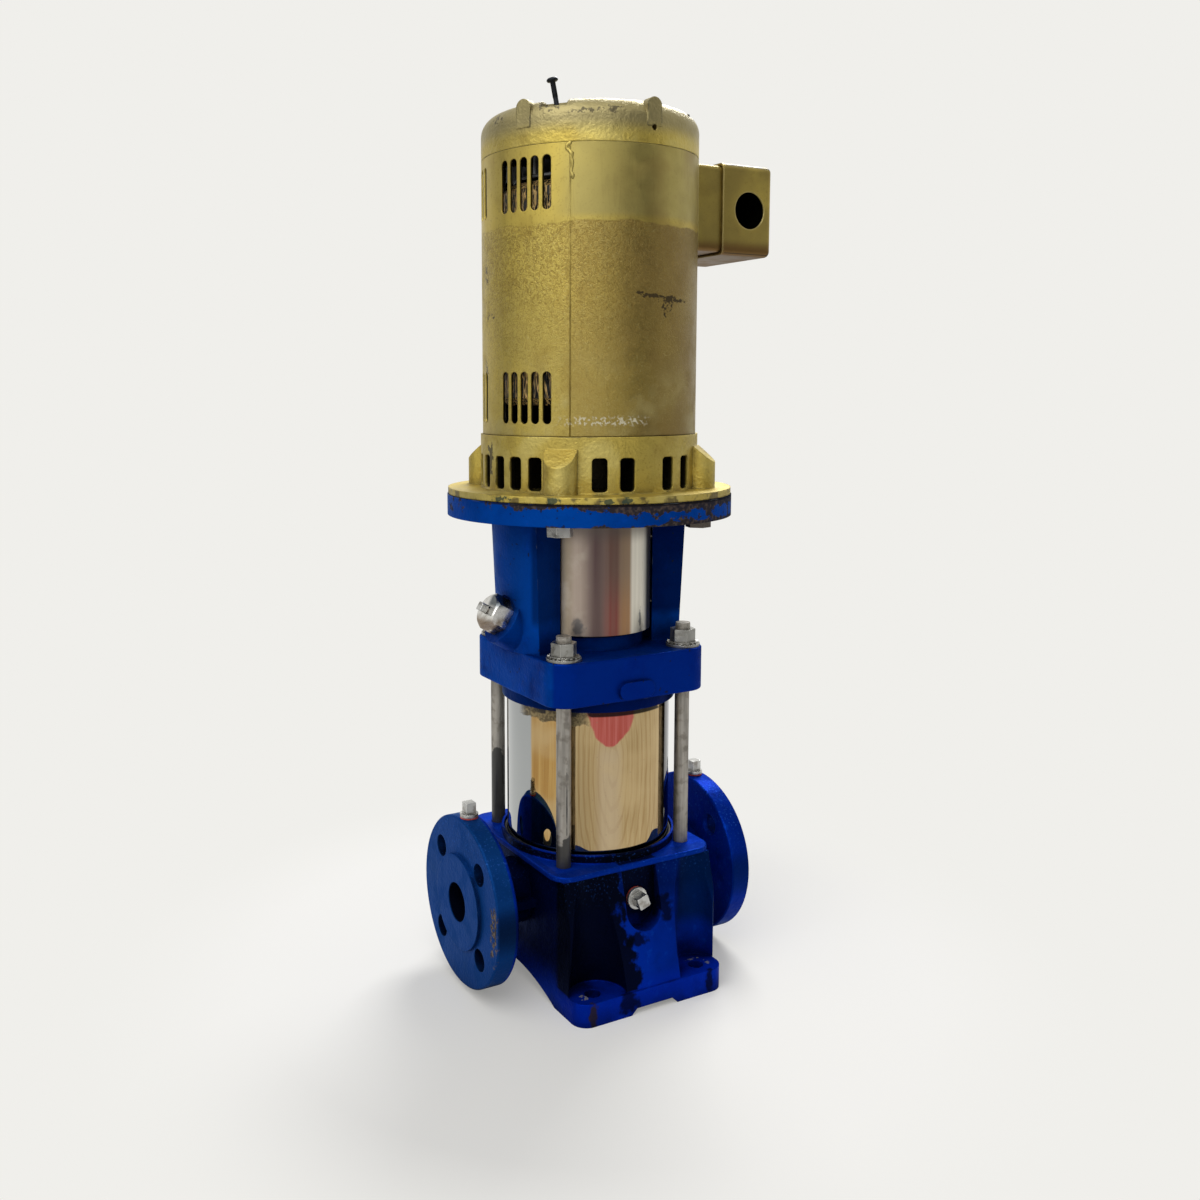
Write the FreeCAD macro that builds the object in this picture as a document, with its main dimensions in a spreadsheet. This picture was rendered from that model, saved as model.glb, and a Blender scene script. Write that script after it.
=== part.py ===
import FreeCAD, Part
import math
import os
import Sketcher
from FreeCAD import Placement, Rotation, Vector

# Vertical multistage in-line pump with a flange-mounted electric motor, in millimetres.
# The origin is under the shaft axis at the bottom of the foot, +Z is up along the shaft,
# the suction port faces -X, the discharge port faces +X and the drain plug faces -Y.

# Driving dimensions
SIZES = {
    # Ports
    "port_span": 250,
    "port_height": 75,
    "port_bore": 32,
    "flange_diameter": 140,
    "flange_thickness": 18,
    "flange_edge": 1.2,
    "flange_bolt_circle": 100,
    "flange_bolt_hole": 18,
    "raised_face_diameter": 78,
    "raised_face_height": 3,
    "neck_diameter": 54,
    "neck_web_width": 68,
    "neck_web_thickness": 6,
    # Foot casting
    "foot_width": 140,
    "foot_depth": 209,
    "foot_thickness": 19,
    "foot_corner": 13,
    "foot_hole": 13,
    "foot_hole_span_x": 100,
    "foot_hole_span_y": 180,
    "foot_pocket_bottom": 47,
    "foot_pocket_taper": 4,
    "foot_pocket_inset": 2,
    "foot_pocket_offset": 5,
    "trunk_width": 140,
    "trunk_depth": 206,
    "trunk_top_depth": 158,
    "trunk_corner_cut": 17,
    "front_relief_width": 34,
    "front_relief_height": 5,
    "side_arch_width": 130,
    "side_arch_height": 13,
    "underside_width": 112,
    "underside_depth": 110,
    "underside_height": 38,
    "deck_height": 113,
    "deck_width": 150,
    "deck_depth": 161,
    "deck_thickness": 4,
    "deck_corner": 16,
    "seat_ring_diameter": 148,
    "seat_ring_height": 7,
    "well_diameter": 48,
    "well_wall": 14,
    "well_rise": 3,
    "gallery_diameter": 132,
    "gallery_sweep": 250,
    "drain_height": 82,
    "drain_recess_width": 33,
    "drain_recess_face": 75,
    # Plugs with square heads
    "plug_thread": 9,
    "plug_thread_length": 9,
    "plug_collar": 15,
    "plug_collar_height": 2.5,
    "plug_square": 8.5,
    "plug_square_height": 9,
    "plug_seal_thickness": 1.2,
    "drain_thread": 13,
    "drain_collar": 18,
    "drain_square": 10,
    "drain_plug_turn": 20,
    # Sleeve and tie rods
    "sleeve_diameter": 138,
    "sleeve_wall": 2,
    "sleeve_socket": 8,
    "seal_groove_gap": 3,
    "cast_edge": 1.5,
    "rod_spacing": 114,
    "rod_diameter": 12,
    "rod_grip": 22,
    "rod_tip": 5,
    "nut_flats": 18,
    "nut_height": 10.4,
    "washer_diameter": 28,
    "washer_thickness": 2.2,
    "lock_washer_diameter": 22,
    "lock_washer_thickness": 1.6,
    # Stage stack
    "inlet_guide_height": 10,
    "stage_pitch": 24,
    "outlet_guide_height": 16,
    "casing_diameter": 118,
    "casing_wall": 1.8,
    "impeller_diameter": 84,
    "impeller_eye": 38,
    "impeller_passage": 6,
    "impeller_lift": 4,
    "shroud_thickness": 1.2,
    "shaft_diameter": 16,
    "shaft_sleeve_wall": 2.5,
    "bush_wall": 3,
    "bush_holder_wall": 3,
    "upper_bush_length": 8,
    "guide_rim_inset": 8,
    "spoke_width": 4,
    "spoke_inset": 2.5,
    "return_gap": 8,
    "return_vane": 1.5,
    "return_vane_inset": 4,
    # Shaft seal
    "seal_length": 30,
    "seal_face_depth": 7,
    "seal_wall": 7,
    "carrier_height": 12,
    "carrier_sheet": 1,
    "carrier_floor": 2,
    "bellows_wall": 5,
    "bellows_fold": 2.5,
    "face_ring_height": 4,
    "seal_cover_height": 5,
    "seal_cover_inset": 8,
    "seal_screw": 6,
    "seal_screw_inset": 14,
    "seal_screw_grip": 8,
    # Motor stool casting
    "head_ring_diameter": 146,
    "head_ring_height": 8.4,
    "head_plate_width": 147,
    "head_plate_corner": 19,
    "head_plate_thickness": 35.6,
    "head_cavity_diameter": 76,
    "head_cavity_height": 38,
    "hub_diameter": 92,
    "hub_height": 11,
    "seal_bore": 40,
    "leg_height": 108.4,
    "leg_outer_bottom": 153,
    "leg_outer_top": 163,
    "leg_inner": 107,
    "leg_half_angle": 28.5,
    "leg_inner_half_angle": 34,
    "leg_wall": 9,
    "adapter_overhang": 0.7,
    "adapter_thickness": 17,
    "adapter_bore": 114,
    "face_pad_width": 33,
    "face_pad_height": 14,
    "face_pad_proud": 3,
    "face_pad_lift": 8.6,
    # Vent plug on the suction side leg
    "vent_reach": 82,
    "vent_height": 26.5,
    "vent_tilt": 30,
    "vent_boss_diameter": 44,
    "vent_seat_diameter": 35,
    "vent_hex": 27,
    "vent_hex_length": 16,
    "vent_thread": 20,
    "vent_thread_depth": 14,
    "vent_shank": 12,
    "vent_boss_depth": 32,
    "vent_passage": 10,
    "vent_passage_wall": 4,
    "vent_passage_boss_depth": 50,
    "vent_passage_depth": 66,
    "vent_chamfer": 3,
    "bleed_square": 7,
    "bleed_length": 6,
    "bleed_depth": 8,
    # Coupling and guard
    "guard_gap": 13,
    "guard_sheet": 1,
    "guard_half_angle": 66,
    "guard_screw_inset": 5,
    "guard_screw": 4,
    "guard_clearance": 1.4,
    "guard_screw_end": 20,
    "guard_screw_grip": 6,
    "coupling_diameter": 62,
    "coupling_length": 72,
    "coupling_gap": 2,
    "coupling_bolt": 8,
    "coupling_bolt_reach": 22,
    "coupling_bolt_seat": 11,
    "coupling_bolt_grip": 25,
    "coupling_bolt_head": 13,
    "coupling_edge": 2,
    "coupling_pin": 5,
    "coupling_pin_length": 26,
    # Motor
    "motor_shaft_diameter": 28.6,
    "motor_shaft_reach": 66.6,
    "motor_shaft_edge": 1.5,
    "bearing_shoulder": 4,
    "core_shoulder": 12,
    "motor_flange_thickness": 5.2,
    "motor_flange_diameter": 234,
    "motor_bolt_circle": 184,
    "motor_bolt": 12,
    "bell_diameter": 179,
    "bell_height": 43.5,
    "bell_wall": 5.5,
    "bell_slot_width": 12,
    "bell_slot_height": 26,
    "bell_slot_corner": 3,
    "bell_slot_lift": 1.5,
    "bell_hub_wall": 7,
    "bell_rib": 5,
    "bell_boss_diameter": 26,
    "bell_boss_height": 34,
    "bell_boss_fall": 14,
    "bell_tap_depth": 24,
    "bell_spigot": 5,
    "frame_diameter": 175.4,
    "frame_length": 217.5,
    "frame_wall": 2.5,
    "louvre_width": 7,
    "louvre_pitch": 10,
    "louvre_height": 40,
    "louvre_low": 9.5,
    "louvre_high": 169.5,
    "louvre_bearing": 204,
    "rear_bell_height": 33,
    "rear_bell_rounding": 14,
    "rear_bell_wall": 6,
    "rear_notch_depth": 6,
    "rear_notch_width": 22,
    "rear_hub_wall": 5,
    "tab_width": 13,
    "tab_thickness": 8,
    "tab_proud": 0.4,
    "tab_rise": 1,
    "tab_foot": 6,
    "tab_bearing": 272,
    "tab_spacing": 68,
    "tab_hole": 4.5,
    "tab_hole_drop": 7,
    "tie_bolt_circle": 154,
    "tie_bolt_bearing": 219.5,
    "tie_bolt": 6,
    "tie_bolt_lug": 15.6,
    "tie_bolt_grip": 9.6,
    "tie_bolt_head": 10.8,
    "tie_bolt_head_height": 3.9,
    "stator_length": 100,
    "stator_lift": 59.5,
    "stator_bore": 100,
    "air_gap": 0.5,
    "coil_height": 36,
    "coil_outer": 146,
    "coil_inner": 108,
    "coil_edge": 6,
    "rotor_bore": 44,
    "rotor_overhang": 3,
    "end_ring_height": 8,
    "end_ring_width": 14,
    "end_ring_inset": 2,
    "fan_diameter": 136,
    "fan_height": 14,
    "fan_gap": 4,
    "fan_hub_wall": 6,
    "fan_sheet": 2,
    # Bearings
    "drive_bearing_outer": 62,
    "drive_bearing_bore": 30,
    "drive_bearing_width": 16,
    "drive_ball": 9.5,
    "rear_bearing_outer": 52,
    "rear_bearing_bore": 25,
    "rear_bearing_width": 15,
    "rear_ball": 7.9,
    "drive_bearing_lift": 12,
    "wave_spring": 4,
    "ball_gap": 0.15,
    # Conduit box
    "box_lift": 146,
    "box_height": 74,
    "box_width": 90,
    "box_neck_end": 101,
    "box_end": 152,
    "box_wall": 2,
    "box_corner": 5,
    "box_lap": 3,
    "box_socket": 15,
    "conduit_hole": 30,
    "loose_bolt_lean": 9,
    "loose_bolt_rise": 22,
    "loose_bolt_length": 44,
    "loose_bolt": 5.2,
    "loose_bolt_head": 11,
    "box_screw": 5,
    # Clearances
    "running_fit": 0.05,
    "fastener_fit": 0.2,
    "loose_fit": 0.5,
    "seat_gap": 0.3,
    "joint_line": 0.4,
}
STAGES = ("1", "2", "3", "4")
VANES = 6
FAN_BLADES = 9
BELL_RIBS = 8
QUARTERS = ((1, 1), (-1, 1), (-1, -1), (1, -1))

# How far a cut runs past the face that it opens, and a rib into the wall that it joins
OVER = 1


class Length:
    """A size with its formula for the document and its present value."""

    def __init__(self, formula, value):
        self.formula = formula
        self.value = value

    def __add__(self, other):
        return joined(self, "+", other, self.value + number(other))

    def __radd__(self, other):
        return joined(other, "+", self, number(other) + self.value)

    def __sub__(self, other):
        return joined(self, "-", other, self.value - number(other))

    def __rsub__(self, other):
        return joined(other, "-", self, number(other) - self.value)

    def __mul__(self, other):
        return joined(self, "*", other, self.value * number(other))

    def __rmul__(self, other):
        return joined(other, "*", self, number(other) * self.value)

    def __truediv__(self, other):
        return joined(self, "/", other, self.value / number(other))

    def __neg__(self):
        return joined(-1, "*", self, -self.value)


def number(item):
    return item.value if isinstance(item, Length) else float(item)


def formula(item):
    return item.formula if isinstance(item, Length) else repr(float(item))


def joined(left, sign, right, value):
    return Length("(%s %s %s)" % (formula(left), sign, formula(right)), value)


def cosine(angle):
    return Length("cos(%s)" % formula(angle), math.cos(math.radians(number(angle))))


def sine(angle):
    return Length("sin(%s)" % formula(angle), math.sin(math.radians(number(angle))))


def root(item):
    return Length("sqrt(%s)" % formula(item), math.sqrt(number(item)))


def polar(radius, angle):
    return (radius * cosine(angle), radius * sine(angle))


class Sheet:
    """The driving dimensions, each readable by its name as a Length."""

    def __init__(self, document):
        self.cells = document.addObject("Spreadsheet::Sheet", "Sizes")
        for row, (name, value) in enumerate(SIZES.items(), start=1):
            self.cells.set("A%d" % row, name)
            self.cells.set("B%d" % row, str(value))
            self.cells.setAlias("B%d" % row, name)
        document.recompute()

    def __getattr__(self, name):
        return Length("Sizes." + name, float(getattr(self.cells, name)))


DOC = FreeCAD.newDocument("VerticalPump")
S = Sheet(DOC)
NODES = []


# Drawing helpers

def bind(target, path, item):
    target.setExpression(path, formula(item))


def new_body(name):
    body = DOC.addObject("PartDesign::Body", "Body_" + name)
    body.Label = name
    body.AllowCompound = True
    NODES.append(body)
    return body


def origin_feature(body, role):
    return next(item for item in body.Origin.OriginFeatures if item.Role == role)


def sketch(body, plane="XY_Plane", lift=0, turn=0, roll=0):
    """A sketch on an origin plane, lifted off it; turned about its upright, or rolled in it."""
    item = body.newObject("Sketcher::SketchObject", "Sketch")
    item.AttachmentSupport = (origin_feature(body, plane), [""])
    item.MapMode = "FlatFace"
    axis = Vector(0, 0, 1) if number(roll) else Vector(0, 1, 0)
    angle = roll if number(roll) else turn
    item.AttachmentOffset = Placement(Vector(0, 0, 0), Rotation(axis, number(angle)))
    if number(angle):
        bind(item, "AttachmentOffset.Rotation.Angle", angle)
    bind(item, "AttachmentOffset.Base.z", lift)
    return item


def radial_sketch(body, angle, radius):
    """An upright sketch that faces away from the axis at an angle and a distance."""
    item = body.newObject("Sketcher::SketchObject", "Sketch")
    item.AttachmentSupport = (origin_feature(body, "YZ_Plane"), [""])
    item.MapMode = "FlatFace"
    item.AttachmentOffset = Placement(Vector(0, 0, 0), Rotation(Vector(0, 1, 0), number(angle)))
    bind(item, "AttachmentOffset.Rotation.Angle", angle)
    bind(item, "AttachmentOffset.Base.x", radius * sine(angle))
    bind(item, "AttachmentOffset.Base.z", radius * cosine(angle))
    return item


def add_rules(item, rules):
    """Sketch rules in one go. A rule is (kind, places, size), its size None or a Length."""
    made = []
    for kind, places, size in rules:
        ending = () if size is None else (number(size),)
        made.append(Sketcher.Constraint(kind, *places, *ending))
    for place, (_, _, size) in zip(item.addConstraint(made), rules):
        if size is not None:
            bind(item, "Constraints[%d]" % place, size)


def pinned(index, spot, x, y):
    """The two rules that hold a point of the sketch at (x, y)."""
    origin = (-1, 1, index, spot)
    return [("DistanceX", origin, x), ("DistanceY", origin, y)]


def flat_point(corner):
    return Vector(number(corner[0]), number(corner[1]), 0)


def arc_between(here, there):
    """The arc from one corner to the next, counter-clockwise if its side is positive."""
    centre = flat_point(here[2:4])
    first = flat_point(here) - centre
    last = flat_point(there) - centre
    if here[4] < 0:
        first, last = last, first
    begin = math.atan2(first.y, first.x)
    end = math.atan2(last.y, last.x)
    if end <= begin:
        end += 2 * math.pi
    return Part.ArcOfCircle(Part.Circle(centre, Vector(0, 0, 1), first.Length), begin, end)


def arc_rule(index, here, there):
    """Holds an arc's centre across its chord; its ends hold the rest."""
    chord = flat_point(there) - flat_point(here)
    if abs(chord.x) > abs(chord.y):
        return "DistanceY", (-1, 1, index, 3), here[3]
    return "DistanceX", (-1, 1, index, 3), here[2]


def outline(item, corners):
    """A closed outline. A corner is (x, y), or (x, y, centre x, centre y, side) before an arc."""
    first = item.GeometryCount
    shapes = []
    ends = []
    rules = []
    for place, here in enumerate(corners):
        there = corners[(place + 1) % len(corners)]
        if len(here) == 5:
            shapes.append(arc_between(here, there))
            rules.append(arc_rule(first + place, here, there))
            ends.append((1, 2) if here[4] > 0 else (2, 1))
        else:
            shapes.append(Part.LineSegment(flat_point(here), flat_point(there)))
            ends.append((1, 2))
    for place, here in enumerate(corners):
        before = (place - 1) % len(corners)
        start = ends[place][0]
        joint = (first + before, ends[before][1], first + place, start)
        rules.append(("Coincident", joint, None))
        rules += pinned(first + place, start, here[0], here[1])
    item.addGeometry(shapes)
    add_rules(item, rules)


def circle(item, x, y, radius):
    index = item.addGeometry(Part.Circle(flat_point((x, y)), Vector(0, 0, 1), number(radius)))
    add_rules(item, [("Radius", (index,), radius)] + pinned(index, 3, x, y))


def rectangle(item, x_low, y_low, x_high, y_high):
    outline(item, [(x_low, y_low), (x_high, y_low), (x_high, y_high), (x_low, y_high)])


def rounded_rectangle(item, half_x, half_y, radius, middle_y=0):
    """A rectangle about the sketch's upright, with round corners."""
    in_x = half_x - radius
    top = middle_y + half_y
    low = middle_y - half_y
    outline(item, [
        (-in_x, low), (in_x, low, in_x, low + radius, 1),
        (half_x, low + radius), (half_x, top - radius, in_x, top - radius, 1),
        (in_x, top), (-in_x, top, -in_x, top - radius, 1),
        (-half_x, top - radius), (-half_x, low + radius, -in_x, low + radius, 1)])


def upright_slot(item, x, low, high, radius):
    """A slot with round ends."""
    outline(item, [
        (x + radius, low + radius), (x + radius, high - radius, x, high - radius, 1),
        (x - radius, high - radius), (x - radius, low + radius, x, low + radius, 1)])


def hexagon(item, flats, x=0, y=0):
    reach = flats / (2 * math.cos(math.radians(30)))
    corners = []
    for step in range(6):
        corners.append((x + reach * math.cos(math.radians(60 * step)),
                        y + reach * math.sin(math.radians(60 * step))))
    outline(item, corners)


def bar(item, angle, inner, outer, width):
    """A straight bar that points away from the axis."""
    along = (cosine(angle), sine(angle))
    corners = []
    for radius, side in ((inner, -0.5), (outer, -0.5), (outer, 0.5), (inner, 0.5)):
        corners.append((radius * along[0] - side * width * along[1],
                        radius * along[1] + side * width * along[0]))
    outline(item, corners)


def sector(item, inner, outer, half_inner, half_outer, middle=0):
    """A piece of a ring, with its own half angle on the inner and outer arc."""
    outline(item, [
        polar(inner, middle - half_inner),
        polar(outer, middle - half_outer) + (0 * outer, 0 * outer, 1),
        polar(outer, middle + half_outer),
        polar(inner, middle + half_inner) + (0 * inner, 0 * inner, -1)])


# Solid helpers

def add_feature(body, kind, **settings):
    item = body.newObject("PartDesign::" + kind, kind)
    if "Refine" in item.PropertiesList:
        item.Refine = False
    for name, value in settings.items():
        setattr(item, name, value)
    return item


def pad(body, item, length, middle=False, reverse=False):
    feature = add_feature(body, "Pad", Profile=item, Reversed=reverse)
    if middle:
        feature.SideType = "Symmetric"
    bind(feature, "Length", length)
    DOC.recompute()
    return feature


def cut_check(body, feature, before):
    DOC.recompute()
    if feature.Shape.isNull() or feature.Shape.Volume > before - 1e-6:
        raise RuntimeError("%s removes nothing from %s" % (feature.Name, body.Label))
    return feature


def pocket(body, item, depth=None, middle=False, reverse=False, taper=0):
    before = body.Tip.Shape.Volume
    feature = add_feature(body, "Pocket", Profile=item, Reversed=reverse)
    if number(taper):
        bind(feature, "TaperAngle", taper)
    if middle:
        feature.SideType = "Symmetric"
    if depth is None:
        feature.Type = "ThroughAll"
    else:
        bind(feature, "Length", depth)
    return cut_check(body, feature, before)


def turned(body, item, angle=None):
    """A revolution about the sketch's upright axis."""
    feature = add_feature(body, "Revolution", Profile=item, ReferenceAxis=(item, ["V_Axis"]))
    if angle is not None:
        feature.Midplane = True
        bind(feature, "Angle", angle)
    DOC.recompute()
    return feature


def groove(body, item, angle=None):
    before = body.Tip.Shape.Volume
    feature = add_feature(body, "Groove", Profile=item, ReferenceAxis=(item, ["V_Axis"]))
    if angle is not None:
        feature.Midplane = True
        bind(feature, "Angle", angle)
    return cut_check(body, feature, before)


def loft(body, first, second):
    feature = add_feature(body, "AdditiveLoft", Profile=first, Sections=[second], Ruled=True)
    DOC.recompute()
    return feature


def around(body, features, count):
    """Copies evenly spaced about the body's own upright axis."""
    axis = (origin_feature(body, "Z_Axis"), [""])
    item = add_feature(body, "PolarPattern", Originals=features, Axis=axis)
    item.Angle = 360
    item.Occurrences = count
    body.Tip = item
    DOC.recompute()
    return item


def edges_at(shape, side, level):
    """Names of the edges that lie wholly at a level along X or Z."""
    names = []
    for index, edge in enumerate(shape.Edges, start=1):
        box = edge.BoundBox
        low, high = (box.XMin, box.XMax) if side == "X" else (box.ZMin, box.ZMax)
        if abs(low - number(level)) < 0.01 and abs(high - number(level)) < 0.01:
            names.append("Edge%d" % index)
    return names


def soften(body, radius, side, level):
    """Rounds the body's edges that lie at a level along X or Z."""
    base = body.Tip
    item = add_feature(body, "Fillet", Base=(base, edges_at(base.Shape, side, level)))
    bind(item, "Radius", radius)
    DOC.recompute()


def place(body, x=0, y=0, z=0, axis=(0, 0, 1), angle=0):
    body.Placement = Placement(Vector(0, 0, 0), Rotation(Vector(*axis), number(angle)))
    bind(body, "Placement.Base.x", x)
    bind(body, "Placement.Base.y", y)
    bind(body, "Placement.Base.z", z)
    if number(angle):
        bind(body, "Placement.Rotation.Angle", angle)
    DOC.recompute()


def spun(name, corners, angle=None):
    """A sub-part turned from one outline of (radius, height) corners."""
    body = new_body(name)
    profile = sketch(body, "XZ_Plane")
    outline(profile, corners)
    turned(body, profile, angle)
    return body


def tube(name, inner, outer, low, high):
    return spun(name, [(inner, low), (outer, low), (outer, high), (inner, high)])


# Levels along the shaft
WELL_TOP = S.deck_height + S.well_rise
SEAT_TOP = S.deck_height + S.seat_ring_height
SLEEVE_LOW = S.deck_height + S.seat_gap
STAGE_LOW = WELL_TOP + S.inlet_guide_height
STAGE_TOP = STAGE_LOW + len(STAGES) * S.stage_pitch
HEAD_LOW = STAGE_TOP + S.outlet_guide_height
RING_LOW = HEAD_LOW - OVER
SOCKET_TOP = RING_LOW + S.sleeve_socket
SLEEVE_TOP = SOCKET_TOP - S.seat_gap
PLATE_LOW = RING_LOW + S.head_ring_height
PLATE_TOP = PLATE_LOW + S.head_plate_thickness
CAVITY_TOP = HEAD_LOW + S.head_cavity_height
HUB_TOP = PLATE_TOP + S.hub_height
ADAPTER_LOW = PLATE_TOP + S.leg_height
ADAPTER_TOP = ADAPTER_LOW + S.adapter_thickness
MOTOR_FACE = ADAPTER_TOP + S.joint_line
BELL_FLOOR = MOTOR_FACE + S.motor_flange_thickness
FRAME_LOW = BELL_FLOOR + S.bell_height
FRAME_TOP = FRAME_LOW + S.frame_length
MOTOR_TOP = FRAME_TOP + S.rear_bell_height
MOTOR_SHAFT_LOW = MOTOR_FACE - S.motor_shaft_reach
COUPLING_MIDDLE = MOTOR_SHAFT_LOW
COUPLING_LOW = COUPLING_MIDDLE - S.coupling_length / 2
COUPLING_HIGH = COUPLING_MIDDLE + S.coupling_length / 2
PUMP_SHAFT_TOP = COUPLING_MIDDLE - S.coupling_gap
GUARD_LOW = PLATE_TOP + S.guard_gap
NOTCH_FLOOR = MOTOR_TOP - S.rear_notch_depth

# Radii that several pieces share
SLEEVE_R = S.sleeve_diameter / 2
SOCKET_R = SLEEVE_R + S.seal_groove_gap
SHAFT_R = S.shaft_diameter / 2
SHAFT_SLEEVE_R = SHAFT_R + S.shaft_sleeve_wall
BUSH_BORE_R = SHAFT_SLEEVE_R + S.running_fit
BUSH_R = BUSH_BORE_R + S.bush_wall
CASING_R = S.casing_diameter / 2
GUARD_R = S.leg_inner / 2 - S.guard_clearance
MOTOR_SHAFT_R = S.motor_shaft_diameter / 2
FRAME_R = S.frame_diameter / 2
FRAME_BORE_R = FRAME_R - S.frame_wall
ADAPTER_R = S.motor_flange_diameter / 2 + S.adapter_overhang
ROD_PLACE = S.rod_spacing / 2
ROD_ANGLE = 45


# Foot casting with its two flanged ports

def foot_trunk(body):
    """The foot pad, the tapering trunk on it and the deck that carries the sleeve."""
    pad_outline = sketch(body)
    rounded_rectangle(pad_outline, S.foot_width / 2, S.foot_depth / 2, S.foot_corner)
    pad(body, pad_outline, S.foot_thickness)
    profile = sketch(body, "YZ_Plane")
    low = S.trunk_depth / 2
    high = S.trunk_top_depth / 2
    top = S.deck_height - S.deck_thickness
    outline(profile, [(-low, S.foot_thickness), (low, S.foot_thickness), (high, top), (-high, top)])
    pad(body, profile, S.trunk_width, middle=True)
    corners = sketch(body, lift=S.foot_thickness)
    cut = S.trunk_corner_cut
    for side_x, side_y in QUARTERS:
        x = side_x * S.trunk_width / 2
        y = side_y * S.trunk_depth / 2
        far_x = x + side_x * OVER
        far_y = y + side_y * OVER
        outline(corners, [(far_x, y - side_y * cut), (x - side_x * cut, far_y), (far_x, far_y)])
    pocket(body, corners, top - S.foot_thickness, reverse=True)
    deck = sketch(body, lift=top)
    rounded_rectangle(deck, S.deck_width / 2, S.deck_depth / 2, S.deck_corner)
    pad(body, deck, S.deck_thickness)
    soften(body, S.cast_edge, "Z", S.deck_height)


def foot_hole_pockets(body):
    """Tapering hollows that leave room for a spanner above each foot hole."""
    hollows = sketch(body, lift=S.foot_thickness)
    for side_x, side_y in QUARTERS:
        circle(hollows, side_x * (S.foot_hole_span_x / 2 - S.foot_pocket_inset),
               side_y * (S.foot_hole_span_y / 2 + S.foot_pocket_offset), S.foot_pocket_bottom / 2)
    pocket(body, hollows, S.deck_height - S.deck_thickness - S.foot_thickness, reverse=True,
           taper=-S.foot_pocket_taper)
    holes = sketch(body)
    for side_x, side_y in QUARTERS:
        circle(holes, side_x * S.foot_hole_span_x / 2, side_y * S.foot_hole_span_y / 2,
               S.foot_hole / 2)
    pocket(body, holes, S.foot_thickness + OVER, reverse=True)


def foot_ports(body):
    """Flanges with raised faces, round necks and the flat webs beside them."""
    face = S.port_span / 2
    rim = face - S.raised_face_height
    back = rim - S.flange_thickness
    profile = sketch(body, "XZ_Plane")
    bind(profile, "AttachmentOffset.Base.y", S.port_height)
    neck = S.neck_diameter / 2
    outer = S.flange_diameter / 2
    edge = S.flange_edge
    ends = []
    for side in (1, -1):
        half = [
            (side * back, neck), (side * back, outer - edge), (side * (back + edge), outer),
            (side * (rim - edge), outer), (side * rim, outer - edge),
            (side * rim, S.raised_face_diameter / 2), (side * face, S.raised_face_diameter / 2),
            (side * face, 0)]
        ends.append(half)
    outline(profile, ends[0] + ends[1][::-1])
    add_feature(body, "Revolution", Profile=profile, ReferenceAxis=(profile, ["H_Axis"]))
    DOC.recompute()
    web = sketch(body, lift=S.port_height)
    rectangle(web, -back, -S.neck_web_width / 2, back, S.neck_web_width / 2)
    pad(body, web, S.neck_web_thickness, middle=True)
    for side in (-1, 1):
        ring = sketch(body, "YZ_Plane", lift=side * (back - OVER))
        for side_y, side_z in QUARTERS:
            circle(ring, side_y * S.flange_bolt_circle / 2 * cosine(45),
                   S.port_height + side_z * S.flange_bolt_circle / 2 * sine(45),
                   S.flange_bolt_hole / 2)
        pocket(body, ring, S.flange_thickness + 2 * OVER, reverse=side > 0)


def foot_waterways(body):
    """The suction way to the middle well and the discharge gallery around it."""
    seat = sketch(body, lift=S.deck_height)
    circle(seat, 0, 0, S.seat_ring_diameter / 2)
    pad(body, seat, S.seat_ring_height)
    groove_profile = sketch(body, "XZ_Plane")
    well_outer = S.well_diameter / 2 + S.well_wall
    rectangle(groove_profile, well_outer, S.deck_height, SOCKET_R, SEAT_TOP + OVER)
    groove(body, groove_profile)
    top = sketch(body, lift=WELL_TOP)
    circle(top, 0, 0, well_outer + OVER)
    pocket(body, top, SEAT_TOP, reverse=True)
    well = sketch(body, lift=WELL_TOP)
    circle(well, 0, 0, S.well_diameter / 2)
    pocket(body, well, WELL_TOP - S.port_height + S.port_bore / 2)
    suction = sketch(body, "YZ_Plane", lift=-S.port_span / 2)
    circle(suction, 0, S.port_height, S.port_bore / 2)
    pocket(body, suction, S.port_span / 2, reverse=True)
    gallery = sketch(body, "XZ_Plane")
    rectangle(gallery, well_outer, S.port_height - S.port_bore / 2, S.gallery_diameter / 2,
              SEAT_TOP)
    groove(body, gallery, S.gallery_sweep)
    discharge = sketch(body, "YZ_Plane", lift=S.port_span / 2)
    circle(discharge, 0, S.port_height, S.port_bore / 2)
    pocket(body, discharge, S.port_span / 2 - well_outer - OVER)


def foot_recesses(body):
    """The arched recess of the drain, the threads of the plugs and of the tie rods."""
    front = S.foot_depth / 2
    top = S.deck_height - S.deck_thickness
    half = S.drain_recess_width / 2
    spring = S.drain_height - half / 3
    recess = sketch(body, "XZ_Plane", lift=front)
    outline(recess, [(half, spring), (half, top - OVER), (-half, top - OVER),
                     (-half, spring, 0, spring, 1)])
    pocket(body, recess, front - S.drain_recess_face)
    drain = sketch(body, "XZ_Plane", lift=front)
    circle(drain, 0, S.drain_height, S.drain_thread / 2 + S.fastener_fit)
    pocket(body, drain, front - S.gallery_diameter / 2 + S.drain_thread / 2)
    tapped = sketch(body, lift=S.port_height + S.flange_diameter / 2 + OVER)
    for side in (-1, 1):
        circle(tapped, side * plug_place(), 0, S.plug_thread / 2 + S.fastener_fit)
    pocket(body, tapped, S.plug_thread_length + 2 * OVER)
    rods = sketch(body, lift=S.deck_height)
    for side_x, side_y in QUARTERS:
        circle(rods, side_x * ROD_PLACE, side_y * ROD_PLACE, S.rod_diameter / 2 + S.fastener_fit)
    pocket(body, rods, S.rod_grip + OVER)


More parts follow.
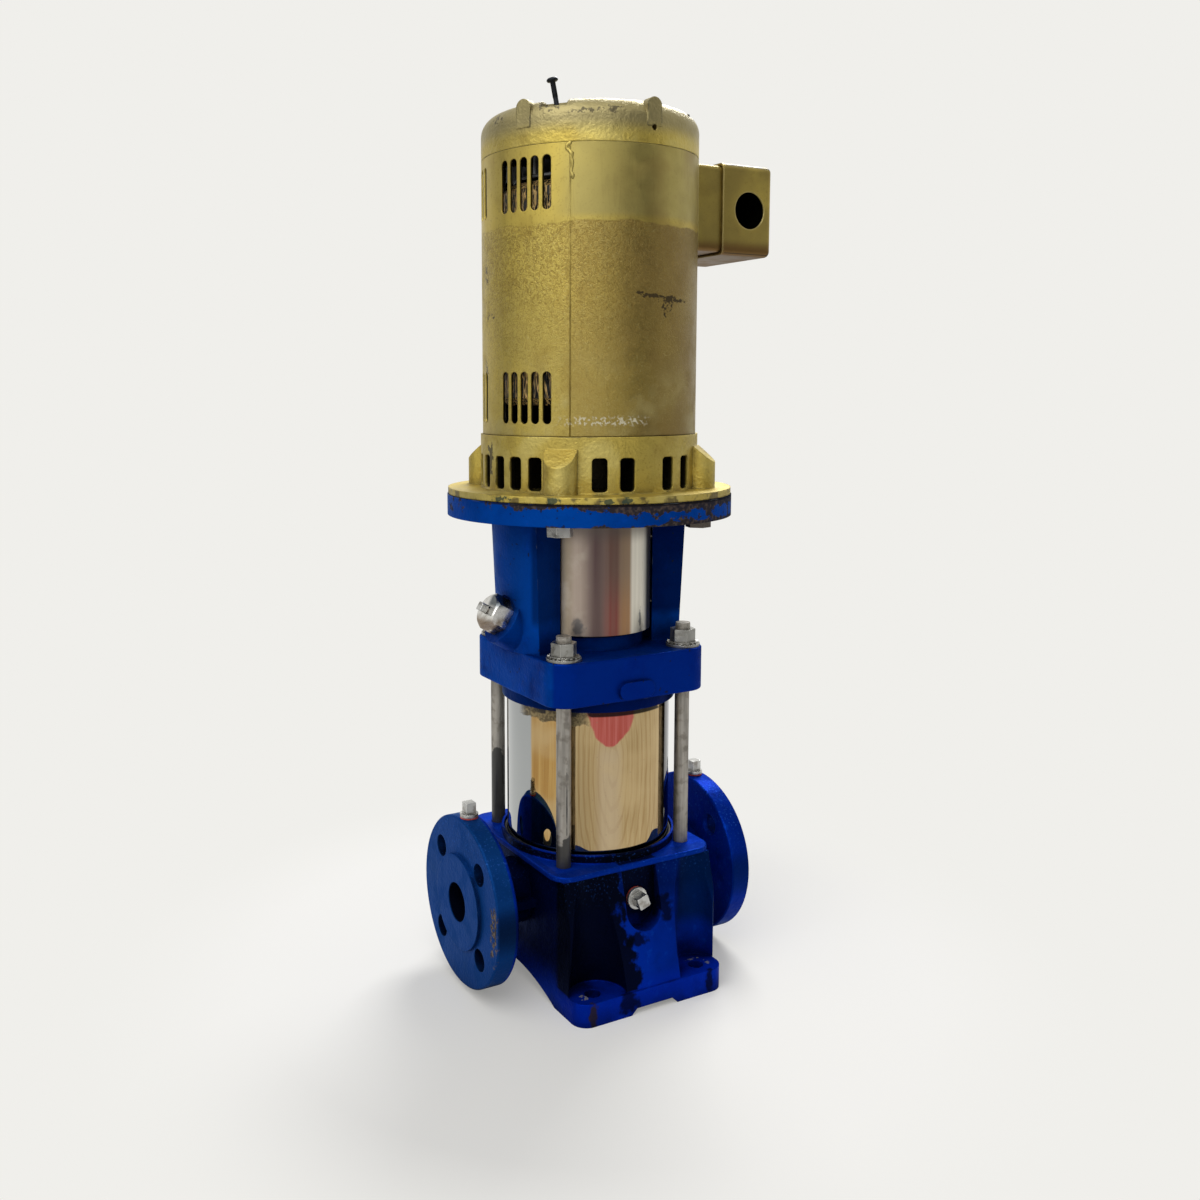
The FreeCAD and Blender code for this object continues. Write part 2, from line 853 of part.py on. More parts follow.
def foot_underside(body):
    """The relief between the feet, the arch from side to side and the cast hollow."""
    near = S.front_relief_width / 2
    far = near + S.front_relief_height
    relief = sketch(body, "XZ_Plane", lift=S.foot_depth / 2)
    outline(relief, [
        (-far, 0), (far, 0), (near, S.front_relief_height), (-near, S.front_relief_height)])
    pocket(body, relief, S.foot_depth)
    reach = S.side_arch_width / 2
    rise = S.side_arch_height
    radius = (reach * reach + rise * rise) / (2 * rise)
    arch = sketch(body, "YZ_Plane", lift=S.foot_width / 2)
    outline(arch, [(reach, 0, 0, rise - radius, 1), (-reach, 0)])
    pocket(body, arch, S.foot_width)
    hollow = sketch(body)
    rounded_rectangle(hollow, S.underside_width / 2, S.underside_depth / 2, S.foot_corner)
    pocket(body, hollow, S.underside_height, reverse=True)


def plug_place():
    """How far from the shaft axis the plugs in the flange rims stand."""
    return S.port_span / 2 - S.raised_face_height - S.flange_thickness / 2


def pump_foot():
    body = new_body("pump_foot")
    foot_trunk(body)
    foot_ports(body)
    foot_hole_pockets(body)
    foot_waterways(body)
    foot_recesses(body)
    foot_underside(body)


def square_plug(body, thread, thread_length, collar, square, roll=0):
    """A threaded shank below, a round collar and a square head above the body's origin."""
    shank = sketch(body)
    circle(shank, 0, 0, thread / 2)
    pad(body, shank, thread_length + S.plug_seal_thickness, reverse=True)
    rim = sketch(body)
    circle(rim, 0, 0, collar / 2)
    pad(body, rim, S.plug_collar_height)
    head = sketch(body, lift=S.plug_collar_height, roll=roll)
    rounded_rectangle(head, square / 2, square / 2, square / 8)
    pad(body, head, S.plug_square_height)


def plugs_and_seals():
    """The drain plug in its recess, the gauge plugs in the flange rims, and their seals."""
    plug = new_body("drain_plug")
    square_plug(plug, S.drain_thread, S.plug_thread_length, S.drain_collar, S.drain_square,
                S.drain_plug_turn)
    place(plug, 0, -(S.drain_recess_face + S.plug_seal_thickness), S.drain_height, (1, 0, 0), 90)
    seals = new_body("plug_seals")
    washer = sketch(seals, "XZ_Plane", lift=S.drain_recess_face)
    circle(washer, 0, S.drain_height, S.drain_collar / 2)
    circle(washer, 0, S.drain_height, S.drain_thread / 2 + S.fastener_fit)
    pad(seals, washer, S.plug_seal_thickness)
    height = S.port_height + S.flange_diameter / 2
    washers = sketch(seals, lift=height)
    seat = height + S.plug_seal_thickness
    plugs = new_body("gauge_plugs")
    shanks = sketch(plugs, lift=seat)
    collars = sketch(plugs, lift=seat)
    heads = sketch(plugs, lift=seat + S.plug_collar_height)
    half = S.plug_square / 2
    for side in (-1, 1):
        x = side * plug_place()
        circle(washers, x, 0, S.plug_collar / 2)
        circle(washers, x, 0, S.plug_thread / 2 + S.fastener_fit)
        circle(shanks, x, 0, S.plug_thread / 2)
        circle(collars, x, 0, S.plug_collar / 2)
        rectangle(heads, x - half, -half, x + half, half)
    pad(seals, washers, S.plug_seal_thickness)
    pad(plugs, shanks, S.plug_thread_length + S.plug_seal_thickness, reverse=True)
    pad(plugs, collars, S.plug_collar_height)
    pad(plugs, heads, S.plug_square_height)


def sleeve_and_seals():
    tube("outer_sleeve", SLEEVE_R - S.sleeve_wall, SLEEVE_R, SLEEVE_LOW, SLEEVE_TOP)
    seals = new_body("sleeve_seals")
    middle = SLEEVE_R + S.seal_groove_gap / 2
    cord = S.seal_groove_gap / 2 - S.seat_gap
    for height in ((S.deck_height + SEAT_TOP) / 2, (RING_LOW + SOCKET_TOP) / 2):
        profile = sketch(seals, "XZ_Plane")
        circle(profile, middle, height, cord)
        turned(seals, profile)


def tie_rods():
    """Four staybolts that clamp the sleeve, with their nuts and two washers on each."""
    nut_low = PLATE_TOP + S.washer_thickness + S.lock_washer_thickness
    rod_low = S.deck_height - S.rod_grip
    rod_high = nut_low + S.nut_height + S.rod_tip
    reach = ROD_PLACE * root(2)
    rods = new_body("tie_rods")
    shank = sketch(rods, lift=rod_low)
    circle(shank, reach, 0, S.rod_diameter / 2)
    rod = pad(rods, shank, rod_high - rod_low)
    around(rods, [rod], 4)
    place(rods, angle=ROD_ANGLE)
    nuts = new_body("tie_rod_nuts")
    flats = sketch(nuts, lift=nut_low)
    hexagon(flats, S.nut_flats, reach)
    circle(flats, reach, 0, S.rod_diameter / 2 + S.fastener_fit)
    nut = pad(nuts, flats, S.nut_height)
    around(nuts, [nut], 4)
    place(nuts, angle=ROD_ANGLE)
    washers = new_body("tie_rod_washers")
    discs = []
    for size, low, thickness in (
            (S.washer_diameter, PLATE_TOP, S.washer_thickness),
            (S.lock_washer_diameter, PLATE_TOP + S.washer_thickness, S.lock_washer_thickness)):
        disc = sketch(washers, lift=low)
        circle(disc, reach, 0, size / 2)
        circle(disc, reach, 0, S.rod_diameter / 2 + S.fastener_fit)
        discs.append(pad(washers, disc, thickness))
    around(washers, discs, 4)
    place(washers, angle=ROD_ANGLE)


# Stage stack: everything that turns or guides water inside the sleeve

def pump_shaft():
    """The pump shaft with its chamfered ends, and the nut that holds the stack on it."""
    edge = S.shaft_diameter / 16
    grip = S.shaft_diameter / 3
    low = WELL_TOP - grip
    shaft = spun("pump_shaft", [
        (0, low), (SHAFT_R - edge, low), (SHAFT_R, low + edge), (SHAFT_R, PUMP_SHAFT_TOP - edge),
        (SHAFT_R - edge, PUMP_SHAFT_TOP), (0, PUMP_SHAFT_TOP)])
    pin = sketch(shaft, "YZ_Plane")
    circle(pin, 0, coupling_pin_height(), S.coupling_pin / 2 + S.running_fit)
    pocket(shaft, pin, S.shaft_diameter + 2 * OVER, middle=True)
    nut = new_body("shaft_nut")
    flats = sketch(nut, lift=low + edge)
    hexagon(flats, 2 * (SHAFT_SLEEVE_R - edge))
    circle(flats, 0, 0, SHAFT_R + S.running_fit)
    pad(nut, flats, grip - edge)


def inlet_guide():
    """The ring under the first stage, with the lower bush in its spokes."""
    body = new_body("inlet_guide")
    rim = S.well_diameter / 2 - S.spoke_inset
    holder = BUSH_R + S.bush_holder_wall
    for inner, outer in ((rim, CASING_R - S.guide_rim_inset), (BUSH_R, holder)):
        profile = sketch(body, "XZ_Plane")
        rectangle(profile, inner, WELL_TOP, outer, STAGE_LOW)
        turned(body, profile)
    spokes = sketch(body, lift=WELL_TOP + S.spoke_inset)
    for angle in (0, 120, 240):
        bar(spokes, angle, holder - OVER, rim + OVER, S.spoke_width)
    pad(body, spokes, S.inlet_guide_height - 2 * S.spoke_inset)


def stage_casing(name, low):
    """One pumping chamber: floor with its eye, wall, and the return vanes on a disc."""
    body = new_body("stage_casing_" + name)
    eye = S.impeller_eye / 2 + S.shroud_thickness + S.seat_gap
    wall = CASING_R - S.casing_wall
    top = low + S.stage_pitch
    disc_low = return_disc_low() + low
    cup = sketch(body, "XZ_Plane")
    outline(cup, [(eye, low), (CASING_R, low), (CASING_R, top), (wall, top),
                  (wall, low + S.casing_wall), (eye, low + S.casing_wall)])
    turned(body, cup)
    disc = sketch(body, "XZ_Plane")
    rectangle(disc, SHAFT_SLEEVE_R + S.loose_fit, disc_low, wall - S.return_gap,
              disc_low + S.casing_wall)
    turned(body, disc)
    vanes = sketch(body, lift=disc_low)
    for step in range(VANES):
        bar(vanes, 360 / VANES * (step + 0.25), SHAFT_SLEEVE_R + S.return_vane_inset,
            wall + S.casing_wall / 2, S.return_vane)
    pad(body, vanes, top - disc_low)


def return_disc_low():
    """How high above a stage's floor its return disc sits."""
    return S.impeller_lift + S.impeller_passage + 3 * S.shroud_thickness


def impeller(name, low):
    """A closed impeller: two shrouds, six swept vanes, a neck in the eye and a hub."""
    body = new_body("impeller_" + name)
    rim = S.impeller_diameter / 2
    eye = S.impeller_eye / 2
    thick = S.shroud_thickness
    bore = SHAFT_R + S.running_fit
    under = low + S.impeller_lift
    over = under + thick + S.impeller_passage
    neck = sketch(body, "XZ_Plane")
    outline(neck, [(eye, low), (eye + thick, low), (eye + thick, under), (rim, under),
                   (rim, under + thick), (eye, under + thick)])
    turned(body, neck)
    hub = sketch(body, "XZ_Plane")
    outline(hub, [(bore, under), (SHAFT_SLEEVE_R, under), (SHAFT_SLEEVE_R, over),
                  (rim, over), (rim, over + thick), (bore, over + thick)])
    turned(body, hub)
    vanes = sketch(body, lift=under + thick / 2)
    for step in range(VANES):
        swept_vane(vanes, 360 / VANES * step, eye + thick / 2, rim, thick)
    pad(body, vanes, S.impeller_passage + thick)


def swept_vane(item, angle, inner, outer, thick):
    """One vane that leans back from the eye to the rim, as a thin four-sided plate."""
    centre = polar((inner + outer) / 2, angle - 60)
    near = [polar(inner, angle), polar(outer, angle + 25)]
    far = []
    for point in near:
        across = (point[0] - centre[0], point[1] - centre[1])
        length = root(across[0] * across[0] + across[1] * across[1])
        far.append((point[0] + across[0] * thick / length, point[1] + across[1] * thick / length))
    outline(item, near + far[::-1])


def shaft_bushes():
    """The two water-lubricated bushes, in the inlet guide and in the outlet guide."""
    body = new_body("shaft_bushes")
    for low, high in ((WELL_TOP, STAGE_LOW), (HEAD_LOW - S.upper_bush_length, HEAD_LOW)):
        profile = sketch(body, "XZ_Plane")
        rectangle(profile, BUSH_BORE_R, low, BUSH_R, high)
        turned(body, profile)


def shaft_sleeves():
    """Sleeves on the shaft that space the impellers and run in the bushes."""
    inner = SHAFT_R + S.running_fit
    hub_low = S.impeller_lift
    hub_high = S.impeller_lift + 2 * S.shroud_thickness + S.impeller_passage
    body = new_body("shaft_sleeves")
    spans = [(WELL_TOP, STAGE_LOW + hub_low)]
    for step in range(len(STAGES) - 1):
        low = STAGE_LOW + step * S.stage_pitch
        spans.append((low + hub_high, low + S.stage_pitch + hub_low))
    last = STAGE_LOW + (len(STAGES) - 1) * S.stage_pitch
    spans.append((last + hub_high, seal_low()))
    for low, high in spans:
        profile = sketch(body, "XZ_Plane")
        rectangle(profile, inner, low + S.running_fit, SHAFT_SLEEVE_R, high)
        turned(body, profile)


def outlet_guide():
    """The cover of the last stage, with windows to the gallery and the upper bush."""
    body = new_body("outlet_guide")
    wall = CASING_R - S.casing_wall
    holder = BUSH_R + S.bush_holder_wall
    ceiling = HEAD_LOW - S.casing_wall
    foot = HEAD_LOW - S.upper_bush_length
    profile = sketch(body, "XZ_Plane")
    outline(profile, [(BUSH_R, foot), (holder, foot), (holder, ceiling), (wall, ceiling),
                      (wall, STAGE_TOP), (CASING_R, STAGE_TOP), (CASING_R, HEAD_LOW),
                      (BUSH_R, HEAD_LOW)])
    turned(body, profile)
    border = 2 * S.casing_wall
    windows = sketch(body, lift=STAGE_TOP + border)
    for step in range(8):
        bar(windows, 45 * (step + 0.5), wall - border, CASING_R + OVER, S.casing_diameter / 5)
    pocket(body, windows, ceiling - STAGE_TOP - 2 * border, reverse=True)


# Shaft seal

def seal_low():
    """The underside of the turning half of the shaft seal."""
    return HUB_TOP - S.seal_length


def shaft_seal():
    """A bellows seal: the turning half on the shaft, the seat above and the cover over it."""
    face = HUB_TOP - S.seal_face_depth
    bore = SHAFT_R + S.running_fit
    low = seal_low()
    floor = low + S.carrier_floor
    outer = SHAFT_R + S.seal_wall
    inner = outer - S.carrier_sheet
    spun("seal_spring_carrier", [
        (bore, low), (outer, low), (outer, low + S.carrier_height),
        (inner, low + S.carrier_height), (inner, floor), (bore, floor)])
    crest = SHAFT_R + S.bellows_wall
    ring_low = face - S.face_ring_height
    corners = [(bore, floor), (crest, floor)]
    for fold in (1, 3):
        height = floor + fold * S.bellows_fold
        corners += [(crest - S.bellows_fold, height), (crest, height + S.bellows_fold)]
    spun("seal_bellows", corners + [(crest, ring_low), (bore, ring_low)])
    tube("seal_rotating_face", bore, crest, ring_low, face - S.running_fit)
    tube("seal_stationary_seat", SHAFT_R + OVER, outer, face, HUB_TOP + OVER)
    seal_cover(face, outer)


def seal_cover(face, seat):
    """The cover that centres the seal's seat in the head, with its four screws."""
    body = new_body("seal_cover")
    collar = S.seal_bore / 2 - S.running_fit
    rim = S.hub_diameter / 2 - S.seal_cover_inset
    top = HUB_TOP + S.seal_cover_height
    disc = sketch(body, "XZ_Plane")
    outline(disc, [
        (SHAFT_R + OVER, HUB_TOP + OVER), (seat, HUB_TOP + OVER), (seat, face), (collar, face),
        (collar, HUB_TOP), (rim, HUB_TOP), (rim, top), (SHAFT_R + OVER, top)])
    turned(body, disc)
    holes = sketch(body, lift=top)
    seal_screw_circles(holes)
    pocket(body, holes, S.seal_cover_height)
    screws = new_body("seal_cover_screws")
    shank = sketch(screws, lift=HUB_TOP - S.seal_screw_grip)
    circle(shank, seal_screw_place(), 0, S.seal_screw / 2)
    stem = pad(screws, shank, S.seal_screw_grip + S.seal_cover_height)
    cap = sketch(screws, lift=top)
    circle(cap, seal_screw_place(), 0, S.seal_screw * 5 / 6)
    head = pad(screws, cap, S.seal_screw)
    around(screws, [stem, head], 4)
    place(screws, angle=45)


def seal_screw_place():
    return S.hub_diameter / 2 - S.seal_screw_inset


def seal_screw_circles(item):
    """The four holes for the screws of the seal cover."""
    for step in range(4):
        circle(item, *polar(seal_screw_place(), 45 + 90 * step),
               S.seal_screw / 2 + S.fastener_fit)


# Motor stool casting

def stool_head(body):
    """The square head with its round ring below and the hub of the shaft seal on top."""
    half = S.head_plate_width / 2
    plate = sketch(body, lift=PLATE_LOW)
    rounded_rectangle(plate, half, half, S.head_plate_corner)
    pad(body, plate, S.head_plate_thickness)
    soften(body, S.cast_edge, "Z", PLATE_TOP)
    soften(body, S.cast_edge, "Z", PLATE_LOW)
    ring = sketch(body, lift=RING_LOW)
    circle(ring, 0, 0, S.head_ring_diameter / 2)
    pad(body, ring, S.head_ring_height + OVER)
    hub = sketch(body, lift=PLATE_TOP)
    circle(hub, 0, 0, S.hub_diameter / 2)
    pad(body, hub, S.hub_height)


def stool_legs(body):
    """Two legs on the port sides, wider at the top and hollow towards the coupling."""
    inner = S.leg_inner / 2
    low = sketch(body, lift=PLATE_TOP - OVER)
    sector(low, inner, S.leg_outer_bottom / 2, S.leg_inner_half_angle, S.leg_half_angle)
    high = sketch(body, lift=ADAPTER_LOW + OVER)
    sector(high, inner, S.leg_outer_top / 2, S.leg_inner_half_angle, S.leg_half_angle)
    leg = loft(body, low, high)
    around(body, [leg], 2)
    plate = sketch(body, lift=ADAPTER_LOW)
    circle(plate, 0, 0, ADAPTER_R)
    pad(body, plate, S.adapter_thickness)


def stool_hollows(body):
    """The adapter bore, the hollow backs of the legs and the water side of the head."""
    bore = sketch(body, lift=ADAPTER_TOP)
    circle(bore, 0, 0, S.adapter_bore / 2)
    pocket(body, bore, S.adapter_thickness + OVER)
    backs = sketch(body, lift=HUB_TOP)
    reach = S.leg_outer_bottom / 2 - S.leg_wall
    half = S.leg_inner_half_angle - S.leg_wall
    for middle in (0, 180):
        sector(backs, S.leg_inner / 2 - OVER, reach, half, half, middle)
    pocket(body, backs, ADAPTER_LOW - HUB_TOP - S.leg_wall / 2, reverse=True)
    socket = sketch(body, lift=RING_LOW)
    circle(socket, 0, 0, SOCKET_R)
    circle(socket, 0, 0, CASING_R + OVER)
    pocket(body, socket, S.sleeve_socket, reverse=True)
    land = sketch(body, lift=RING_LOW)
    circle(land, 0, 0, CASING_R + 2 * OVER)
    pocket(body, land, HEAD_LOW - RING_LOW, reverse=True)
    cavity = sketch(body, lift=HEAD_LOW)
    circle(cavity, 0, 0, S.head_cavity_diameter / 2)
    pocket(body, cavity, S.head_cavity_height, reverse=True)
    seal = sketch(body, lift=HUB_TOP)
    circle(seal, 0, 0, S.seal_bore / 2)
    pocket(body, seal, HUB_TOP - CAVITY_TOP + OVER)


def stool_details(body):
    """Bolt and rod holes, the oval pad on the front and the boss for the vent plug."""
    rods = sketch(body, lift=PLATE_TOP)
    for side_x, side_y in QUARTERS:
        circle(rods, side_x * ROD_PLACE, side_y * ROD_PLACE, S.rod_diameter / 2 + S.loose_fit)
    pocket(body, rods, S.head_plate_thickness + OVER)
    bolts = sketch(body, lift=ADAPTER_TOP)
    for step in range(4):
        circle(bolts, *polar(S.motor_bolt_circle / 2, 45 + 90 * step),
               S.motor_bolt / 2 + S.loose_fit)
    pocket(body, bolts, S.adapter_thickness)
    screws = sketch(body, lift=HUB_TOP)
    seal_screw_circles(screws)
    pocket(body, screws, S.seal_screw_grip + OVER)
    oval = sketch(body, "XZ_Plane", lift=S.head_plate_width / 2)
    middle = PLATE_LOW + S.face_pad_lift
    half = S.face_pad_width / 2
    rise = S.face_pad_height / 2
    outline(oval, [
        (-half + rise, middle - rise), (half - rise, middle - rise, half - rise, middle, 1),
        (half - rise, middle + rise), (-half + rise, middle + rise, rise - half, middle, 1)])
    pad(body, oval, S.face_pad_proud)


def vent_place():
    """Where the vent plug's seat is, on the leg over the suction port."""
    return -S.vent_reach, PLATE_TOP + S.vent_height


def vent_drum(body, kind, radius, start, length):
    """A cylinder along the vent plug's axis; its start is counted from the plug's seat."""
    x, z = vent_place()
    tilt = S.vent_tilt - 90
    before = body.Tip.Shape.Volume
    drum = add_feature(body, kind)
    drum.AttachmentSupport = (origin_feature(body, "XY_Plane"), [""])
    drum.MapMode = "FlatFace"
    drum.AttachmentOffset = Placement(Vector(0, 0, 0), Rotation(Vector(0, 1, 0), number(tilt)))
    bind(drum, "Radius", radius)
    bind(drum, "Height", length)
    bind(drum, "AttachmentOffset.Rotation.Angle", tilt)
    bind(drum, "AttachmentOffset.Base.x", x + start * sine(tilt))
    bind(drum, "AttachmentOffset.Base.z", z + start * cosine(tilt))
    DOC.recompute()
    if kind == "SubtractiveCylinder":
        cut_check(body, drum, before)


def vent_boss(body):
    """A round boss that points outwards and up, bored through to the head's cavity."""
    passage = S.vent_passage / 2
    depth = S.vent_boss_depth
    deep = S.vent_passage_boss_depth
    start = S.vent_thread_depth - S.vent_passage_depth
    vent_drum(body, "AdditiveCylinder", S.vent_boss_diameter / 2, -depth, depth)
    vent_drum(body, "AdditiveCylinder", passage + S.vent_passage_wall, -deep,
              deep - depth + 2 * OVER)
    room = sketch(body, lift=HUB_TOP)
    circle(room, 0, 0, S.leg_inner / 2)
    pocket(body, room, ADAPTER_LOW - HUB_TOP, reverse=True)
    vent_drum(body, "SubtractiveCylinder", S.vent_seat_diameter / 2, 0, S.vent_hex_length)
    vent_drum(body, "SubtractiveCylinder", S.vent_thread / 2 + S.fastener_fit,
              -S.vent_thread_depth, S.vent_thread_depth + OVER)
    vent_drum(body, "SubtractiveCylinder", passage, -S.vent_passage_depth, OVER - start)


def motor_stool():
    body = new_body("motor_stool")
    stool_head(body)
    stool_legs(body)
    stool_hollows(body)
    vent_boss(body)
    stool_details(body)
    guard_screw_holes(body)


def vent_fittings():
    """The large hexagonal vent plug and the small bleed screw in its middle."""
    x, z = vent_place()
    tilt = S.vent_tilt - 90
    top = S.vent_hex_length
    plug = new_body("vent_plug")
    flats = sketch(plug)
    hexagon(flats, S.vent_hex)
    pad(plug, flats, top)
    chamfer = sketch(plug, "XZ_Plane")
    corner = S.vent_hex * 0.6
    land = S.vent_hex / 2 - OVER
    outline(chamfer, [(land, top), (corner, top - S.vent_chamfer), (corner, top + OVER),
                      (land, top + OVER)])
    groove(plug, chamfer)
    shank = sketch(plug)
    circle(shank, 0, 0, S.vent_thread / 2)
    pad(plug, shank, S.vent_shank, reverse=True)
    seat = sketch(plug, lift=top)
    circle(seat, 0, 0, S.bleed_square / 2 + S.fastener_fit)
    pocket(plug, seat, S.bleed_depth)
    place(plug, x, 0, z, (0, 1, 0), tilt)
    screw = new_body("bleed_screw")
    stem = sketch(screw, lift=top - S.bleed_depth + OVER)
    circle(stem, 0, 0, S.bleed_square / 2)
    pad(screw, stem, S.bleed_depth)
    head = sketch(screw, lift=top + OVER)
    rounded_rectangle(head, S.bleed_square / 2, S.bleed_square / 2, S.bleed_square / 6)
    pad(screw, head, S.bleed_length)
    place(screw, x, 0, z, (0, 1, 0), tilt)


# Coupling and its guard

def coupling_half(name, side):
    """One clamping half: bored for both shafts, drilled for its screws and the drive pin."""
    body = new_body(name)
    pump_bore = SHAFT_R + S.running_fit
    motor_bore = MOTOR_SHAFT_R + S.running_fit
    outer = S.coupling_diameter / 2
    edge = S.coupling_edge
    step = COUPLING_MIDDLE - OVER
    profile = sketch(body, "XZ_Plane")
    outline(profile, [
        (pump_bore, COUPLING_LOW), (outer - edge, COUPLING_LOW), (outer, COUPLING_LOW + edge),
        (outer, COUPLING_HIGH - edge), (outer - edge, COUPLING_HIGH),
        (motor_bore, COUPLING_HIGH), (motor_bore, step), (pump_bore, step)])
    turned(body, profile)
    other = sketch(body, "XZ_Plane", lift=-side * S.coupling_gap / 2)
    rectangle(other, -outer - OVER, COUPLING_LOW - OVER, outer + OVER, COUPLING_HIGH + OVER)
    pocket(body, other, S.coupling_diameter, reverse=side > 0)
    holes = sketch(body, "XZ_Plane")
    coupling_bolt_circles(holes, S.coupling_bolt / 2 + S.fastener_fit)
    pocket(body, holes, S.coupling_diameter, middle=True)
    pin = sketch(body, "YZ_Plane")
    circle(pin, 0, coupling_pin_height(), S.coupling_pin / 2 + S.running_fit)
    pocket(body, pin, S.coupling_pin_length + 2 * OVER, middle=True)
    if side < 0:
        faces = sketch(body, "XZ_Plane", lift=S.coupling_bolt_seat)
        coupling_bolt_circles(faces, S.coupling_bolt_head / 2 + 2 * OVER)
        pocket(body, faces, S.coupling_diameter, reverse=True)


def coupling():
    """Two clamping halves round both shaft ends, their screws and the drive pin."""
    coupling_half("coupling_half_front", -1)
    coupling_half("coupling_half_rear", 1)
    screws = new_body("coupling_bolts")
    seat = S.coupling_bolt_seat
    for lift, size, length in (
            (seat, S.coupling_bolt, S.coupling_bolt_grip),
            (seat + S.coupling_bolt, S.coupling_bolt_head, S.coupling_bolt)):
        item = sketch(screws, "XZ_Plane", lift=lift)
        coupling_bolt_circles(item, size / 2)
        pad(screws, item, length, reverse=True)
    pin = new_body("coupling_pin")
    item = sketch(pin, "YZ_Plane")
    circle(item, 0, coupling_pin_height(), S.coupling_pin / 2)
    pad(pin, item, S.coupling_pin_length, middle=True)


def coupling_pin_height():
    return PUMP_SHAFT_TOP - S.shaft_diameter


def coupling_bolt_circles(item, radius):
    """The four screws' places, two on each side of the shafts."""
    inset = S.coupling_length / 6
    for height in (COUPLING_LOW + inset, COUPLING_HIGH - inset):
        for side in (-1, 1):
            circle(item, side * S.coupling_bolt_reach, height, radius)


def coupling_guards():
    """Two curved sheets that close the windows of the stool, screwed behind the legs."""
    inner = GUARD_R - S.guard_sheet
    for name, middle in (("coupling_guard_front", 270), ("coupling_guard_rear", 90)):
        body = new_body(name)
        sheet = sketch(body, lift=GUARD_LOW)
        sector(sheet, inner, GUARD_R, S.guard_half_angle, S.guard_half_angle, middle)
        pad(body, sheet, ADAPTER_LOW - GUARD_LOW - OVER)
        for angle in guard_screw_angles(middle):
            holes = radial_sketch(body, angle, GUARD_R + OVER)
            guard_screw_circles(holes, S.guard_screw / 2 + S.fastener_fit)
            pocket(body, holes, S.guard_sheet + S.guard_screw)
    screws = new_body("guard_screws")
    for angle in guard_screw_angles(90) + guard_screw_angles(270):
        shank = radial_sketch(screws, angle, inner - S.guard_sheet)
        guard_screw_circles(shank, S.guard_screw / 2)
        pad(screws, shank, guard_screw_depth() + 2 * S.guard_sheet)
        head = radial_sketch(screws, angle, inner - S.seat_gap)
        guard_screw_circles(head, S.guard_screw)
        pad(screws, head, S.guard_screw / 2, reverse=True)


def guard_screw_depth():
    """How far the guard screws reach outwards past the guard."""
    return S.guard_clearance + S.guard_screw_grip


def guard_screw_angles(middle):
    """The two lines of screws beside a window that faces a bearing."""
    reach = S.guard_half_angle - S.guard_screw_inset
    return [middle - reach, middle + reach]


def guard_screw_circles(item, radius):
    for height in (GUARD_LOW + S.guard_screw_end, ADAPTER_LOW - S.guard_screw_end):
        circle(item, 0, height, radius)


def guard_screw_holes(body):
    """The tapped holes for the guard screws in the edges of both legs."""
    for angle in guard_screw_angles(90) + guard_screw_angles(270):
        holes = radial_sketch(body, angle, GUARD_R)
        guard_screw_circles(holes, S.guard_screw / 2 + S.fastener_fit)
        pocket(body, holes, guard_screw_depth() + OVER, reverse=True)


# Motor

def bearing_levels():
    """The undersides of the drive end bearing and of the rear bearing."""
    rear = MOTOR_TOP - S.rear_bell_wall - S.rear_bearing_width - S.wave_spring
    return BELL_FLOOR + S.drive_bearing_lift, rear


STATOR_LOW = FRAME_LOW + S.stator_lift
STATOR_HIGH = STATOR_LOW + S.stator_length
DRIVE_BEARING_LOW, REAR_BEARING_LOW = bearing_levels()
ROTOR_R = S.stator_bore / 2 - S.air_gap
ROTOR_BORE_R = S.rotor_bore / 2
TIE_R = S.tie_bolt_circle / 2

# Shares of a ball's diameter: from its middle to each ring, and half the cage's height
BALL_LAND = 0.3
CAGE_RISE = 0.62
BALL_COUNT = 9


def tie_angles():
    """The four through bolts' angles; the first is the one left standing loose."""
    return [S.tie_bolt_bearing + 90 * step for step in range(4)]


def motor_shaft():
    """The motor shaft: its free end, the bearing seats and the seat of the rotor core."""
    drive_r = S.drive_bearing_bore / 2
    drive_high = DRIVE_BEARING_LOW + S.drive_bearing_width
    rear_r = S.rear_bearing_bore / 2
    rear_high = REAR_BEARING_LOW + S.rear_bearing_width
    core_r = ROTOR_BORE_R - S.running_fit
    core_low = STATOR_LOW - S.core_shoulder
    core_high = STATOR_HIGH + S.core_shoulder
    edge = S.motor_shaft_edge
    spun("motor_shaft", [
        (0, MOTOR_SHAFT_LOW), (MOTOR_SHAFT_R - edge, MOTOR_SHAFT_LOW),
        (MOTOR_SHAFT_R, MOTOR_SHAFT_LOW + edge), (MOTOR_SHAFT_R, MOTOR_FACE),
        (drive_r - S.running_fit, MOTOR_FACE), (drive_r - S.running_fit, drive_high),
        (drive_r + S.bearing_shoulder, drive_high), (drive_r + S.bearing_shoulder, core_low),
        (core_r, core_low), (core_r, core_high), (rear_r + S.bearing_shoulder, core_high),
        (rear_r + S.bearing_shoulder, REAR_BEARING_LOW),
        (rear_r - S.running_fit, REAR_BEARING_LOW), (rear_r - S.running_fit, rear_high),
        (0, rear_high)])


def rotor():
    """The rotor core with its short-circuit rings, running inside the stator bore."""
    low = STATOR_LOW - S.rotor_overhang
    high = STATOR_HIGH + S.rotor_overhang
    ring = ROTOR_R - S.end_ring_inset
    hole = ring - S.end_ring_width
    rise = S.end_ring_height
    spun("rotor_core", [
        (ROTOR_BORE_R, low), (hole, low), (hole, low - rise), (ring, low - rise), (ring, low),
        (ROTOR_R, low), (ROTOR_R, high), (ring, high), (ring, high + rise),
        (hole, high + rise), (hole, high), (ROTOR_BORE_R, high)])


